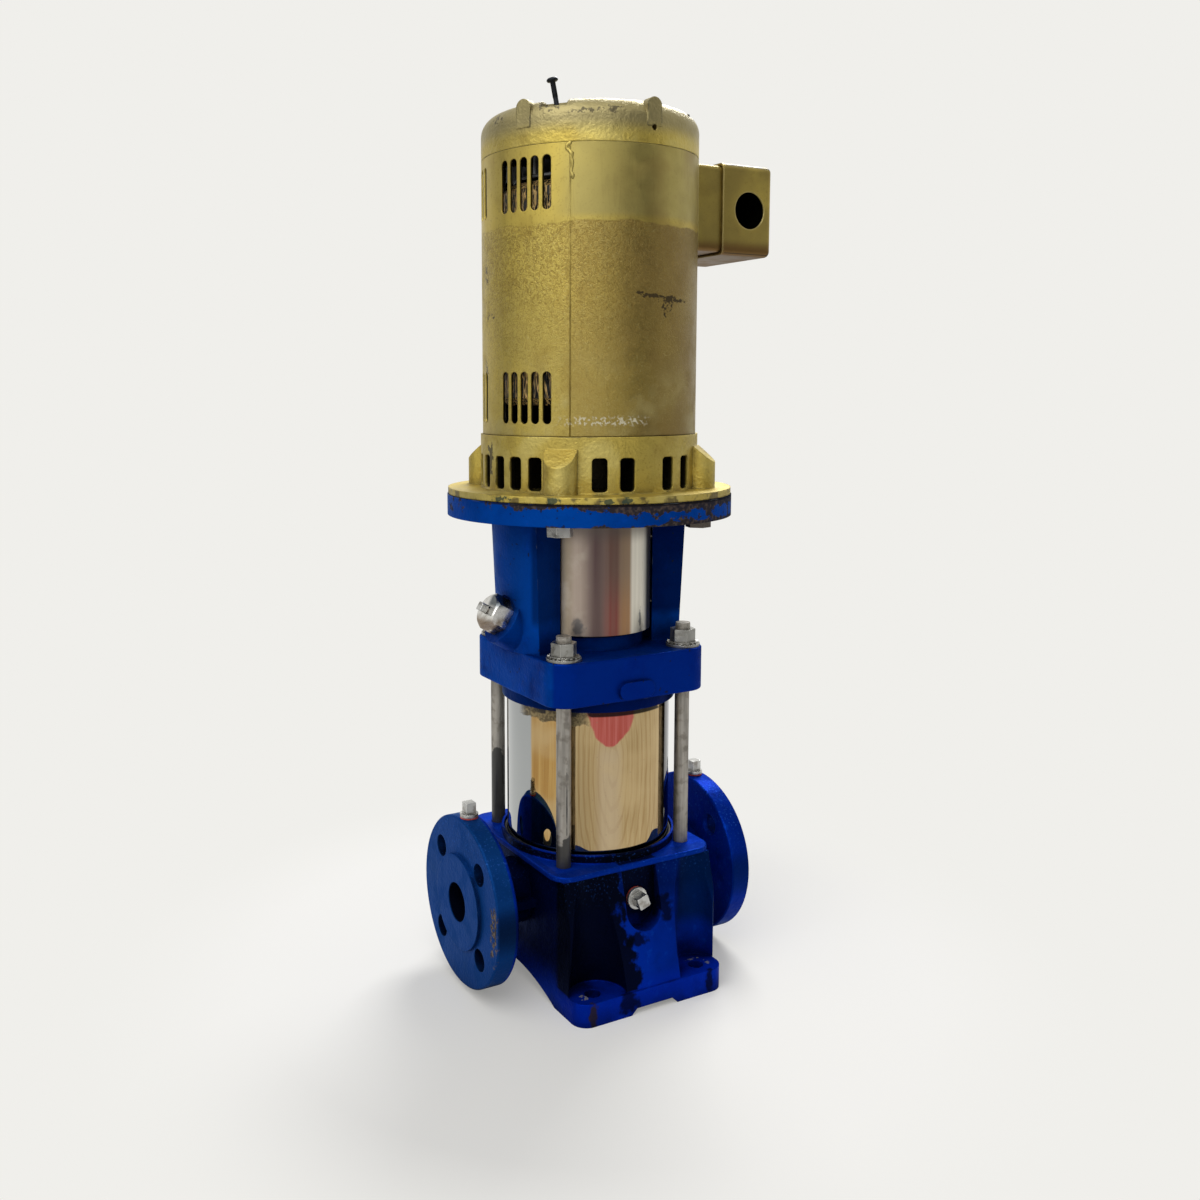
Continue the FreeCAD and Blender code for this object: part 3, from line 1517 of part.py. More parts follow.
def fan():
    """The inner cooling fan above the rotor, with straight radial blades."""
    body = new_body("motor_fan")
    bore = S.rear_bearing_bore / 2 + S.bearing_shoulder + S.running_fit
    hub = bore + S.fan_hub_wall
    disc = S.fan_diameter / 2 - S.fan_hub_wall
    low = STATOR_HIGH + S.coil_height + S.fan_gap
    floor = low + S.fan_sheet
    high = low + S.fan_height
    profile = sketch(body, "XZ_Plane")
    outline(profile, [(bore, low), (disc, low), (disc, floor), (hub, floor), (hub, high),
                      (bore, high)])
    turned(body, profile)
    blades = sketch(body, lift=low + S.fan_sheet / 2)
    for step in range(FAN_BLADES):
        bar(blades, 360 / FAN_BLADES * step, hub - OVER, S.fan_diameter / 2, S.fan_sheet)
    pad(body, blades, S.fan_height - S.fan_sheet / 2)


def stator():
    """The stator core in the frame and the coil ends below and above it."""
    core = new_body("stator_core")
    disc = sketch(core, lift=STATOR_LOW)
    circle(disc, 0, 0, FRAME_BORE_R - S.running_fit)
    circle(disc, 0, 0, S.stator_bore / 2)
    for angle in tie_angles():
        circle(disc, *polar(TIE_R, angle), S.tie_bolt / 2 + S.loose_fit)
    pad(core, disc, S.stator_length)
    inner = S.coil_inner / 2
    outer = S.coil_outer / 2
    coils = new_body("stator_windings")
    edge = S.coil_edge
    for foot, side in ((STATOR_LOW, -1), (STATOR_HIGH, 1)):
        shoulder = foot + side * (S.coil_height - edge)
        tip = foot + side * S.coil_height
        profile = sketch(coils, "XZ_Plane")
        outline(profile, [(inner, foot), (outer, foot), (outer, shoulder), (outer - edge, tip),
                          (inner + edge, tip), (inner, shoulder)])
        turned(coils, profile)


def bearing_rings(name, bore, outer, width, ball, low):
    """The two rings of a ball bearing with their tracks."""
    pitch = (bore + outer) / 4
    land = ball * BALL_LAND
    for ring, near, far in (("inner_ring", bore / 2, pitch - land),
                            ("outer_ring", pitch + land, outer / 2)):
        body = new_body("%s_%s" % (name, ring))
        profile = sketch(body, "XZ_Plane")
        rectangle(profile, near, low, far, low + width)
        turned(body, profile)
        race = sketch(body, "XZ_Plane")
        circle(race, pitch, low + width / 2, ball / 2 + S.ball_gap)
        groove(body, race)


def bearings():
    """Two ball bearings: their rings, all balls, both cages and the rear one's spring."""
    rear_high = REAR_BEARING_LOW + S.rear_bearing_width
    sets = (
        ("drive_bearing", S.drive_bearing_bore, S.drive_bearing_outer, S.drive_bearing_width,
         S.drive_ball, DRIVE_BEARING_LOW),
        ("rear_bearing", S.rear_bearing_bore, S.rear_bearing_outer, S.rear_bearing_width,
         S.rear_ball, REAR_BEARING_LOW))
    for sizes in sets:
        bearing_rings(*sizes)
    balls = new_body("bearing_balls")
    cages = new_body("bearing_cages")
    for _, bore, outer, width, ball, low in sets:
        pitch = (bore + outer) / 4
        middle = low + width / 2
        sphere = add_feature(balls, "AdditiveSphere", MapMode="FlatFace",
                             AttachmentSupport=(origin_feature(balls, "XY_Plane"), [""]))
        bind(sphere, "Radius", ball / 2)
        bind(sphere, "AttachmentOffset.Base.x", pitch)
        bind(sphere, "AttachmentOffset.Base.z", middle)
        around(balls, [sphere], BALL_COUNT)
        half = ball * BALL_LAND / 3
        rise = ball * CAGE_RISE
        band = sketch(cages, "XZ_Plane")
        rectangle(band, pitch - half, middle - rise, pitch + half, middle + rise)
        turned(cages, band)
        seat = sketch(cages, "YZ_Plane", lift=pitch - 2 * half)
        circle(seat, 0, middle, ball / 2 + S.ball_gap)
        room = pocket(cages, seat, 4 * half, reverse=True)
        around(cages, [room], BALL_COUNT)
    spring_r = S.rear_bearing_outer / 2 - S.running_fit
    tube("bearing_spring_washer", spring_r - S.wave_spring, spring_r, rear_high,
         rear_high + S.wave_spring - S.seat_gap)


def front_bell():
    """The flanged end bell: vent slots, bolt bosses with sloping tops, ribs and hub."""
    body = new_body("motor_front_bell")
    outer = S.bell_diameter / 2
    inner = outer - S.bell_wall
    front_bell_shell(body, outer, inner)
    front_bell_slots(body)
    front_bell_hub(body, inner)
    front_bell_threads(body)
    place(body, angle=45)


def front_bell_shell(body, outer, inner):
    """The flange, the wall with its spigot into the frame, and the bosses cut clear inside."""
    hole = S.drive_bearing_outer / 2
    spigot = FRAME_BORE_R - S.running_fit
    spigot_top = FRAME_LOW + S.bell_spigot
    rim = S.motor_flange_diameter / 2
    shell = sketch(body, "XZ_Plane")
    outline(shell, [
        (hole, MOTOR_FACE), (rim, MOTOR_FACE), (rim, BELL_FLOOR), (outer, BELL_FLOOR),
        (outer, FRAME_LOW), (spigot, FRAME_LOW), (spigot, spigot_top), (inner, spigot_top),
        (inner, BELL_FLOOR), (hole, BELL_FLOOR)])
    turned(body, shell)
    front_bell_bosses(body, outer)
    core = sketch(body, lift=BELL_FLOOR)
    circle(core, 0, 0, inner)
    pocket(body, core, S.bell_height, reverse=True)


def front_bell_slots(body):
    """Round-cornered slots through the wall, each cut together with the one behind it."""
    middle = BELL_FLOOR + S.bell_slot_lift + S.bell_slot_height / 2
    for bearing in BELL_SLOT_BEARINGS:
        window = sketch(body, "XZ_Plane", turn=bearing - 270)
        rounded_rectangle(window, S.bell_slot_width / 2, S.bell_slot_height / 2,
                          S.bell_slot_corner, middle)
        pocket(body, window, S.bell_diameter + 2 * OVER, middle=True)


def front_bell_hub(body, inner):
    """The bearing's seat in its hub, and the ribs from the hub to the wall."""
    seat = S.drive_bearing_outer / 2 + S.running_fit
    hub = seat + S.bell_hub_wall
    bore = S.drive_bearing_bore / 2 + S.loose_fit
    seat_high = DRIVE_BEARING_LOW + S.drive_bearing_width
    profile = sketch(body, "XZ_Plane")
    outline(profile, [
        (bore, MOTOR_FACE), (hub, MOTOR_FACE), (hub, seat_high), (seat, seat_high),
        (seat, DRIVE_BEARING_LOW), (bore, DRIVE_BEARING_LOW)])
    turned(body, profile)
    ribs = sketch(body, lift=BELL_FLOOR - OVER)
    for step in range(BELL_RIBS):
        bar(ribs, 360 / BELL_RIBS * step, hub - OVER, inner + OVER, S.bell_rib)
    pad(body, ribs, S.drive_bearing_lift)


def front_bell_threads(body):
    """The lugs for the through bolts, and the threads for them and the mounting bolts."""
    top = FRAME_LOW + S.bell_spigot
    lug_low = BELL_FLOOR + S.bell_slot_lift + S.bell_slot_height + OVER
    lugs = sketch(body, lift=lug_low)
    bolts = sketch(body, lift=top)
    for angle in tie_angles():
        x, y = polar(TIE_R, angle - 45)
        circle(lugs, x, y, S.tie_bolt_lug / 2)
        circle(bolts, x, y, S.tie_bolt / 2 + S.fastener_fit)
    pad(body, lugs, top - lug_low)
    pocket(body, bolts, S.tie_bolt_grip + S.bell_spigot + OVER)
    taps = sketch(body, lift=MOTOR_FACE)
    for step in range(4):
        circle(taps, *polar(S.motor_bolt_circle / 2, 90 * step), S.motor_bolt / 2 + S.fastener_fit)
    pocket(body, taps, S.bell_tap_depth, reverse=True)


def front_bell_bosses(body, outer):
    """Round bosses for the mounting bolts, their tops falling away from the wall."""
    reach = S.motor_bolt_circle / 2
    radius = S.bell_boss_diameter / 2
    top = BELL_FLOOR + S.bell_boss_height
    boss = sketch(body, lift=BELL_FLOOR - OVER)
    circle(boss, reach, 0, radius)
    drum = pad(body, boss, S.bell_boss_height + OVER)
    around(body, [drum], 4)
    slope = sketch(body, "XZ_Plane")
    outline(slope, [
        (outer, top), (reach + radius + OVER, top - S.bell_boss_fall),
        (reach + radius + OVER, top + OVER), (outer, top + OVER)])
    wedge = pocket(body, slope, S.bell_boss_diameter + 2 * OVER, middle=True)
    around(body, [wedge], 4)


# Bearings of the slots from a bolt boss: four over each window, six over each port
BELL_SLOT_BEARINGS = (19, 33, 57, 71, 104, 116, 128, 142, 154, 166)


def motor_frame():
    """The rolled frame with two rows of round-ended louvres on its suction side."""
    body = new_body("motor_frame")
    profile = sketch(body, "XZ_Plane")
    rectangle(profile, FRAME_BORE_R, FRAME_LOW + S.seat_gap, FRAME_R, FRAME_TOP - S.seat_gap)
    turned(body, profile)
    for bearing in (S.louvre_bearing, 360 - S.louvre_bearing):
        slots = sketch(body, "XZ_Plane", turn=bearing - 270)
        for row in (S.louvre_low, S.louvre_high):
            for step in (-2, -1, 0, 1, 2):
                upright_slot(slots, step * S.louvre_pitch, FRAME_LOW + row,
                             FRAME_LOW + row + S.louvre_height, S.louvre_width / 2)
        pocket(body, slots, FRAME_R + OVER, reverse=True)
    entry = sketch(body, "YZ_Plane")
    circle(entry, 0, box_middle(), S.conduit_hole / 2)
    pocket(body, entry, FRAME_R + OVER, reverse=True)


def rear_bell():
    """The domed rear bell with its bearing pocket, bolt notches and lifting tabs."""
    body = new_body("motor_rear_bell")
    seat = S.rear_bearing_outer / 2 + S.running_fit
    hub = seat + S.rear_hub_wall
    spigot = FRAME_BORE_R - S.running_fit
    inner = FRAME_R - S.rear_bell_wall
    foot = FRAME_TOP - S.bell_spigot
    ceiling = MOTOR_TOP - S.rear_bell_wall
    shoulder = MOTOR_TOP - S.rear_bell_rounding
    crown = FRAME_R - S.rear_bell_rounding
    shell = sketch(body, "XZ_Plane")
    outline(shell, [
        (0, ceiling), (seat, ceiling), (seat, REAR_BEARING_LOW), (hub, REAR_BEARING_LOW),
        (hub, ceiling), (crown, ceiling), (inner, shoulder), (inner, foot), (spigot, foot),
        (spigot, FRAME_TOP), (FRAME_R, FRAME_TOP), (FRAME_R, shoulder, crown, shoulder, 1),
        (crown, MOTOR_TOP), (0, MOTOR_TOP)])
    turned(body, shell)
    rear_bell_notches(body, inner)
    rear_bell_tabs(body, shoulder)


def rear_bell_notches(body, inner):
    """A thick block under each through bolt, cut down to the floor that its head sits on."""
    wall = S.rear_bell_wall
    near = TIE_R - S.rear_notch_width / 2
    blocks = sketch(body, lift=NOTCH_FLOOR - wall)
    notches = sketch(body, lift=NOTCH_FLOOR)
    holes = sketch(body, lift=NOTCH_FLOOR)
    for angle in tie_angles():
        bar(blocks, angle, near - wall / 2, inner + OVER, S.rear_notch_width + wall)
        bar(notches, angle, near, FRAME_R + OVER, S.rear_notch_width)
        circle(holes, *polar(TIE_R, angle), S.tie_bolt / 2 + S.loose_fit)
    pad(body, blocks, wall + OVER)
    pocket(body, notches, S.rear_notch_depth + OVER, reverse=True)
    pocket(body, holes, wall + OVER)


def rear_bell_tabs(body, shoulder):
    """Round-topped lifting tabs in two pairs, the first of each with a hole below."""
    tabs = []
    for angle in (S.tab_bearing, S.tab_bearing - S.tab_spacing):
        face = radial_sketch(body, angle, FRAME_R + S.tab_proud)
        arched_plate(face, shoulder - S.tab_foot, MOTOR_TOP + S.tab_rise, S.tab_width / 2)
        tabs.append(pad(body, face, S.tab_thickness, reverse=True))
    around(body, tabs, 2)
    hole = radial_sketch(body, S.tab_bearing, FRAME_R + OVER)
    circle(hole, 0, shoulder - S.tab_hole_drop, S.tab_hole / 2)
    drilled = pocket(body, hole, S.rear_bell_wall)
    around(body, [drilled], 2)


def arched_plate(item, low, high, radius):
    """An upright plate with a round top."""
    spring = high - radius
    outline(item, [(radius, low), (radius, spring, 0, spring, 1), (-radius, spring),
                   (-radius, low)])


def through_bolts():
    """Three long bolts that hold the bells to the frame; the fourth stands loose."""
    body = new_body("through_bolts")
    low = FRAME_LOW - S.tie_bolt_grip
    shanks = sketch(body, lift=low)
    heads = sketch(body, lift=NOTCH_FLOOR)
    for angle in tie_angles()[1:]:
        x, y = polar(TIE_R, angle)
        circle(shanks, x, y, S.tie_bolt / 2)
        circle(heads, x, y, S.tie_bolt_head / 2)
    pad(body, shanks, NOTCH_FLOOR - low)
    pad(body, heads, S.tie_bolt_head_height)


# The level axis that the loose bolt leans about
LEAN_AXIS = (-0.475, -0.88, 0)


def loose_bolt():
    """A shorter bolt with a flat-topped round head, left leaning in the empty hole."""
    body = new_body("loose_through_bolt")
    shank = sketch(body)
    circle(shank, 0, 0, S.loose_bolt / 2)
    pad(body, shank, S.loose_bolt_length)
    head = sketch(body, "XZ_Plane")
    radius = S.loose_bolt_head / 2
    edge = radius / 9
    top = S.loose_bolt_length
    outline(head, [
        (0, top - OVER), (S.loose_bolt / 2, top - OVER), (radius - edge, top),
        (radius, top + edge), (radius, top + 3 * edge), (radius - 2 * edge, top + 5 * edge),
        (0, top + 6 * edge)])
    turned(body, head)
    slide = S.loose_bolt_rise - S.loose_bolt_length
    x, y = polar(TIE_R, S.tie_bolt_bearing)
    lean = S.loose_bolt_lean
    reach = slide * sine(lean)
    body.Placement = Placement(Vector(0, 0, 0), Rotation(Vector(*LEAN_AXIS), number(lean)))
    bind(body, "Placement.Rotation.Angle", lean)
    bind(body, "Placement.Base.x", x + reach * LEAN_AXIS[1])
    bind(body, "Placement.Base.y", y - reach * LEAN_AXIS[0])
    bind(body, "Placement.Base.z", NOTCH_FLOOR - S.rear_bell_wall / 2 + slide * cosine(lean))
    DOC.recompute()


def motor_mount_bolts():
    """Hexagon bolts that rise through the adapter into the front bell's bosses."""
    body = new_body("motor_mount_bolts")
    reach = S.motor_bolt_circle / 2
    flats = S.motor_bolt * 1.5
    height = S.motor_bolt * 0.8
    head = sketch(body, lift=ADAPTER_LOW - height)
    hexagon(head, flats, reach)
    cap = pad(body, head, height)
    shank = sketch(body, lift=ADAPTER_LOW - OVER)
    circle(shank, reach, 0, S.motor_bolt / 2)
    stem = pad(body, shank, S.adapter_thickness + S.joint_line + S.bell_tap_depth - OVER)
    around(body, [cap, stem], 4)
    place(body, angle=45)


def box_middle():
    return FRAME_LOW + S.box_lift + S.box_height / 2


def conduit_box():
    """The conduit box: a base that fits the frame, a deep cover and its two screws."""
    conduit_box_base()
    conduit_box_cover()


def conduit_box_base():
    body = new_body("conduit_box_base")
    end = S.box_neck_end + S.box_lap
    start = FRAME_R - S.box_socket
    inset = S.box_wall + S.seat_gap
    half_y = S.box_width / 2 - inset
    half_z = S.box_height / 2 - inset
    corner = S.box_corner - S.box_wall / 2
    block = sketch(body, "YZ_Plane", lift=start)
    rounded_rectangle(block, half_y, half_z, corner, box_middle())
    pad(body, block, end - start)
    room = sketch(body, "YZ_Plane", lift=end)
    rounded_rectangle(room, half_y - S.box_wall, half_z - S.box_wall, corner - OVER, box_middle())
    pocket(body, room, end - FRAME_R - S.box_wall - OVER)
    curve = sketch(body, lift=FRAME_LOW)
    circle(curve, 0, 0, FRAME_R + S.seat_gap)
    pocket(body, curve, S.frame_length + S.rear_bell_height, reverse=True)
    entry = sketch(body, "YZ_Plane", lift=S.box_neck_end)
    circle(entry, 0, box_middle(), S.conduit_hole / 2)
    pocket(body, entry, S.box_neck_end - FRAME_R / 2)


def conduit_box_cover():
    """A box drawn in one piece, its outer edges round, with the conduit's hole in its side."""
    cover = new_body("conduit_box_cover")
    depth = S.box_end - S.box_neck_end
    half_y = S.box_width / 2
    half_z = S.box_height / 2
    outside = sketch(cover, "YZ_Plane", lift=S.box_neck_end)
    rounded_rectangle(outside, half_y, half_z, S.box_corner, box_middle())
    pad(cover, outside, depth)
    soften(cover, S.box_corner - OVER, "X", S.box_end)
    inside = sketch(cover, "YZ_Plane", lift=S.box_neck_end)
    rounded_rectangle(inside, half_y - S.box_wall, half_z - S.box_wall,
                      S.box_corner - S.box_wall, box_middle())
    pocket(cover, inside, depth - S.box_wall, reverse=True)
    hole = sketch(cover, "XZ_Plane", lift=half_y)
    circle(hole, S.box_neck_end + depth / 2 + S.box_wall, box_middle(), S.conduit_hole / 2)
    pocket(cover, hole, S.box_wall + OVER)
    screws = new_body("conduit_box_screws")
    taps = sketch(cover, "YZ_Plane", lift=S.box_end)
    heads = sketch(screws, "YZ_Plane", lift=S.box_end)
    shanks = sketch(screws, "YZ_Plane", lift=S.box_end + OVER)
    reach = half_z - S.box_wall - S.box_screw * 2
    for side in (-1, 1):
        height = box_middle() + side * reach
        circle(taps, 0, height, S.box_screw / 2 + S.fastener_fit)
        circle(heads, 0, height, S.box_screw)
        circle(shanks, 0, height, S.box_screw / 2)
    pocket(cover, taps, S.box_wall + OVER)
    pad(screws, heads, S.box_screw * 0.6)
    pad(screws, shanks, depth, reverse=True)


# Assembly

def check_model():
    for item in DOC.Objects:
        if "Invalid" in item.State or "Error" in item.State:
            raise RuntimeError("%s failed: %s" % (item.Label, item.State))
    for node in NODES:
        if node.Shape.isNull() or not node.Shape.isValid() or not node.Shape.Solids:
            raise RuntimeError("%s has no valid shape" % node.Label)


def write_parts():
    os.makedirs("parts", exist_ok=True)
    for node in NODES:
        node.Shape.exportStep("parts/%s.step" % node.Label)
        box = node.Shape.BoundBox
        print("%-24s %2d solids %10.0f mm3  z %7.1f to %7.1f" % (
            node.Label, len(node.Shape.Solids), node.Shape.Volume, box.ZMin, box.ZMax))


pump_foot()
plugs_and_seals()
sleeve_and_seals()
tie_rods()
pump_shaft()
inlet_guide()
for position, stage in enumerate(STAGES):
    floor = STAGE_LOW + position * S.stage_pitch
    stage_casing(stage, floor)
    impeller(stage, floor)
shaft_sleeves()
outlet_guide()
shaft_bushes()
shaft_seal()
motor_stool()
vent_fittings()
coupling()
coupling_guards()
motor_shaft()
rotor()
fan()
stator()
bearings()
front_bell()
motor_frame()
rear_bell()
through_bolts()
loose_bolt()
motor_mount_bolts()
conduit_box()
DOC.recompute()
check_model()
write_parts()
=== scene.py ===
import math

import bmesh
import bpy
from mathutils import Matrix, Vector


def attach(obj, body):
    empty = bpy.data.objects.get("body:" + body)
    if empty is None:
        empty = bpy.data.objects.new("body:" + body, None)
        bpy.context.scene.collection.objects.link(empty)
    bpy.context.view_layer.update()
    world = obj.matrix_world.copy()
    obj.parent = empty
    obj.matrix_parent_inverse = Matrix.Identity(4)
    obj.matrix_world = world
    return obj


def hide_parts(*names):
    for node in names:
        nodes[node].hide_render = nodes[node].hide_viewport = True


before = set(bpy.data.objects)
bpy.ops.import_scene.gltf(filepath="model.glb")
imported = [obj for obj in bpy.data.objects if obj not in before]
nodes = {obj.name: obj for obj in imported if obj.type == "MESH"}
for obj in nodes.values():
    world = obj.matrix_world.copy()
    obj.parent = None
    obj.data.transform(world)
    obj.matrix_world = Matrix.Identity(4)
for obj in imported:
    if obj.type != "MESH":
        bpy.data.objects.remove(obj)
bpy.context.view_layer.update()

# Heights, radii and places on the pump that the finishes and the small pieces share, in metres
FRAME_RADIUS = 0.0877
FRAME_FOOT = 0.4558
FRAME_HEAD = 0.6727
BELL_FLOOR = 0.4116
SEAM_BEARING = math.radians(229.2)
FRONT_TURN = math.radians(28.35)
BOX_MIDDLE = 0.6388
PORT_HEIGHT = 0.075
PORT_EDGE = 0.0190
FLANGE_HOLE_OFF = 0.05 * math.cos(math.radians(45))
FLANGE_HOLE_EDGE = 0.0092
DECK_HALF = 0.0790
ROD_CIRCLE = 0.057 * math.sqrt(2)
ROD_TIP = 0.3002
WASHER_LEVEL = 0.2840
WASHER_TEETH = 17
TOOTH_SIZE = (0.0026, 0.0019, 0.0008)
TOOTH_OUT = 0.0117
TOOTH_TWIST = math.radians(24)
RING_PITCH = 0.0011
SEAM_RADIUS = 0.0006
RIBS = 8
RIB_SIZE = (0.0462, 0.0046, 0.0165)
RIB_PLACE = (0.0611, 0, 0.4311)
BOLT_HOLE = Vector((-0.0584, -0.0496, 0.6990))
BOLT_LEAN = math.radians(10.5)
LEAN_AXIS = Vector((-0.475, -0.88, 0.0))
BOLT_SINK = 0.0219
BOLT_NECK = 0.0420
THREAD_END = 0.0300
THREAD_PITCH = 0.0008
CAMERA_PLACE = (-0.5084, -0.82999, 0.49031)
CAMERA_RISE = math.radians(6.69)
CAMERA_ROLL = math.radians(-0.18)

# The run of paint: its places beside the seam, its heights and its half widths
PAINT_RUN = (
    (0.0000, 0.6722, 0.0013), (-0.0024, 0.6706, 0.0013), (-0.0029, 0.6684, 0.0011),
    (-0.0008, 0.6664, 0.0013), (0.0013, 0.6642, 0.0014), (0.0012, 0.6612, 0.0010),
    (0.0017, 0.6578, 0.0012), (0.0014, 0.6545, 0.0010), (0.0006, 0.6515, 0.0011),
    (0.0019, 0.6484, 0.0015), (0.0020, 0.6468, 0.0009))

# Colours
GOLD = (0.495, 0.378, 0.076)
GOLD_DEEP = (0.235, 0.155, 0.026)
GOLD_DULL = (0.380, 0.300, 0.082)
FOOT_BLUE = (0.0, 0.021, 0.290)
STOOL_BLUE = (0.0, 0.046, 0.290)
BLUE_DEEP = (0.0, 0.008, 0.110)
BLUE_GLEAM = (0.25, 0.55, 1.0, 1.0)
# Near black: soot, and painted shade in holes, recesses and corners
BLACK_SOOT_AND_SHADE = (0.0012, 0.0016, 0.0050)
RUST = (0.030, 0.024, 0.020)
STEEL = (0.52, 0.50, 0.46)
ZINC = (0.37, 0.365, 0.34)
BACKGROUND = (0.871, 0.863, 0.831)


# Node tools

def put(tree, kind, wires=None, **settings):
    """A node of a kind, with its settings and what feeds each of its inputs."""
    item = tree.nodes.new(kind)
    for name, value in settings.items():
        setattr(item, name, value)
    for socket, value in (wires or {}).items():
        feed(tree, item.inputs[socket], value)
    return item


def feed(tree, socket, value):
    if isinstance(value, bpy.types.NodeSocket):
        tree.links.new(value, socket)
    elif isinstance(value, tuple) and len(value) == 3 and socket.type == "RGBA":
        socket.default_value = (*value, 1.0)
    else:
        socket.default_value = value


def blend(tree, amount, under, over):
    """Two colours mixed by a mask."""
    item = put(tree, "ShaderNodeMix", {0: amount, 6: under, 7: over}, data_type="RGBA",
               blend_type="MIX")
    return item.outputs[2]


def sums(tree, operation, *values):
    item = put(tree, "ShaderNodeMath", dict(enumerate(values)), operation=operation)
    return item.outputs[0]


def span(tree, value, low, high):
    """A value taken smoothly from a range to 0 to 1."""
    item = put(tree, "ShaderNodeMapRange", {"Value": value, "From Min": low, "From Max": high},
               interpolation_type="SMOOTHSTEP")
    return item.outputs[0]


def effect(name, inputs, outputs):
    """An empty node group with named sockets: (name, kind, default) and (name, kind)."""
    tree = bpy.data.node_groups.new(name, "ShaderNodeTree")
    for label, kind, default in inputs:
        socket = tree.interface.new_socket(label, in_out="INPUT", socket_type=kind)
        if default is not None:
            socket.default_value = default
    for label, kind in outputs:
        tree.interface.new_socket(label, in_out="OUTPUT", socket_type=kind)
    return tree, tree.nodes.new("NodeGroupInput").outputs, tree.nodes.new("NodeGroupOutput").inputs


def use(tree, group, **values):
    """A node group placed in a material, its inputs given by name. Returns its mask."""
    item = put(tree, "ShaderNodeGroup", node_tree=group)
    for name, value in values.items():
        feed(tree, item.inputs[name], value)
    return item.outputs[0]


FLOAT, VECTOR = "NodeSocketFloat", "NodeSocketVector"


def make_blotches():
    """Cloudy patches: a noise cut between two levels."""
    tree, given, wanted = effect(
        "Blotches",
        [("Place", VECTOR, None), ("Size", FLOAT, 10.0), ("Low", FLOAT, 0.45),
         ("High", FLOAT, 0.6), ("Fineness", FLOAT, 4.0), ("Warp", FLOAT, 0.0)],
        [("Mask", FLOAT)])
    noise = put(tree, "ShaderNodeTexNoise",
                {"Vector": given["Place"], "Scale": given["Size"], "Detail": given["Fineness"],
                 "Distortion": given["Warp"]})
    feed(tree, wanted["Mask"], span(tree, noise.outputs[0], given["Low"], given["High"]))
    return tree


def make_spot():
    """One ragged spot at a place, with its own half sizes."""
    tree, given, wanted = effect(
        "Spot",
        [("Place", VECTOR, None), ("Centre", VECTOR, None), ("Reach", VECTOR, None),
         ("Ragged", FLOAT, 0.6), ("Grain", FLOAT, 250.0), ("Soft", FLOAT, 0.25)],
        [("Mask", FLOAT)])
    away = put(tree, "ShaderNodeVectorMath", {0: given["Place"], 1: given["Centre"]},
               operation="SUBTRACT").outputs[0]
    share = put(tree, "ShaderNodeVectorMath", {0: away, 1: given["Reach"]},
                operation="DIVIDE").outputs[0]
    far = put(tree, "ShaderNodeVectorMath", {0: share}, operation="LENGTH").outputs["Value"]
    noise = put(tree, "ShaderNodeTexNoise",
                {"Vector": given["Place"], "Scale": given["Grain"], "Detail": 5.0})
    shift = sums(tree, "MULTIPLY", sums(tree, "SUBTRACT", noise.outputs[0], 0.5), given["Ragged"])
    total = sums(tree, "ADD", far, sums(tree, "MULTIPLY", shift, 4.0))
    edge = sums(tree, "SUBTRACT", 1.0, given["Soft"])
    feed(tree, wanted["Mask"], span(tree, total, 1.0, edge))
    return tree


def make_edges():
    """Sharp edges of a piece, broken up by a noise, for wear and for painted highlights on rims."""
    tree, given, wanted = effect(
        "Edge Wear and Highlights",
        [("Place", VECTOR, None), ("Reach", FLOAT, 0.001), ("Size", FLOAT, 120.0),
         ("Keep", FLOAT, 0.45)],
        [("Mask", FLOAT), ("Normal", VECTOR)])
    soft = put(tree, "ShaderNodeBevel", {"Radius": given["Reach"]}, samples=4).outputs[0]
    true = put(tree, "ShaderNodeNewGeometry").outputs["Normal"]
    meet = put(tree, "ShaderNodeVectorMath", {0: soft, 1: true}, operation="DOT_PRODUCT")
    bent = span(tree, meet.outputs["Value"], 0.995, 0.90)
    noise = put(tree, "ShaderNodeTexNoise",
                {"Vector": given["Place"], "Scale": given["Size"], "Detail": 4.0})
    upper = sums(tree, "ADD", given["Keep"], 0.12)
    rough = span(tree, noise.outputs[0], given["Keep"], upper)
    feed(tree, wanted["Mask"], sums(tree, "MULTIPLY", bent, rough))
    feed(tree, wanted["Normal"], soft)
    return tree


def make_crevices():
    """Corners darkened from ambient occlusion, for dirt and for painted shade."""
    tree, given, wanted = effect(
        "Crevice Dirt and Shade",
        [("Place", VECTOR, None), ("Reach", FLOAT, 0.01), ("Size", FLOAT, 60.0)],
        [("Mask", FLOAT)])
    shade = put(tree, "ShaderNodeAmbientOcclusion", {"Distance": given["Reach"]}, samples=6)
    deep = span(tree, shade.outputs["AO"], 0.85, 0.35)
    noise = put(tree, "ShaderNodeTexNoise",
                {"Vector": given["Place"], "Scale": given["Size"], "Detail": 4.0})
    feed(tree, wanted["Mask"], sums(tree, "MULTIPLY", deep, span(tree, noise.outputs[0], 0.3, 0.6)))
    return tree


def make_swirls():
    """Fine curved scratches as thin light lines."""
    tree, given, wanted = effect(
        "Swirls",
        [("Place", VECTOR, None), ("Size", FLOAT, 60.0), ("Thin", FLOAT, 0.04)],
        [("Mask", FLOAT)])
    noise = put(tree, "ShaderNodeTexNoise",
                {"Vector": given["Place"], "Scale": given["Size"], "Detail": 2.0,
                 "Distortion": 1.6})
    near = sums(tree, "ABSOLUTE", sums(tree, "SUBTRACT", noise.outputs[0], 0.5))
    feed(tree, wanted["Mask"], span(tree, near, given["Thin"], 0.0))
    return tree


BLOTCHES = make_blotches()
SPOT = make_spot()
EDGES = make_edges()
CREVICES = make_crevices()
SWIRLS = make_swirls()


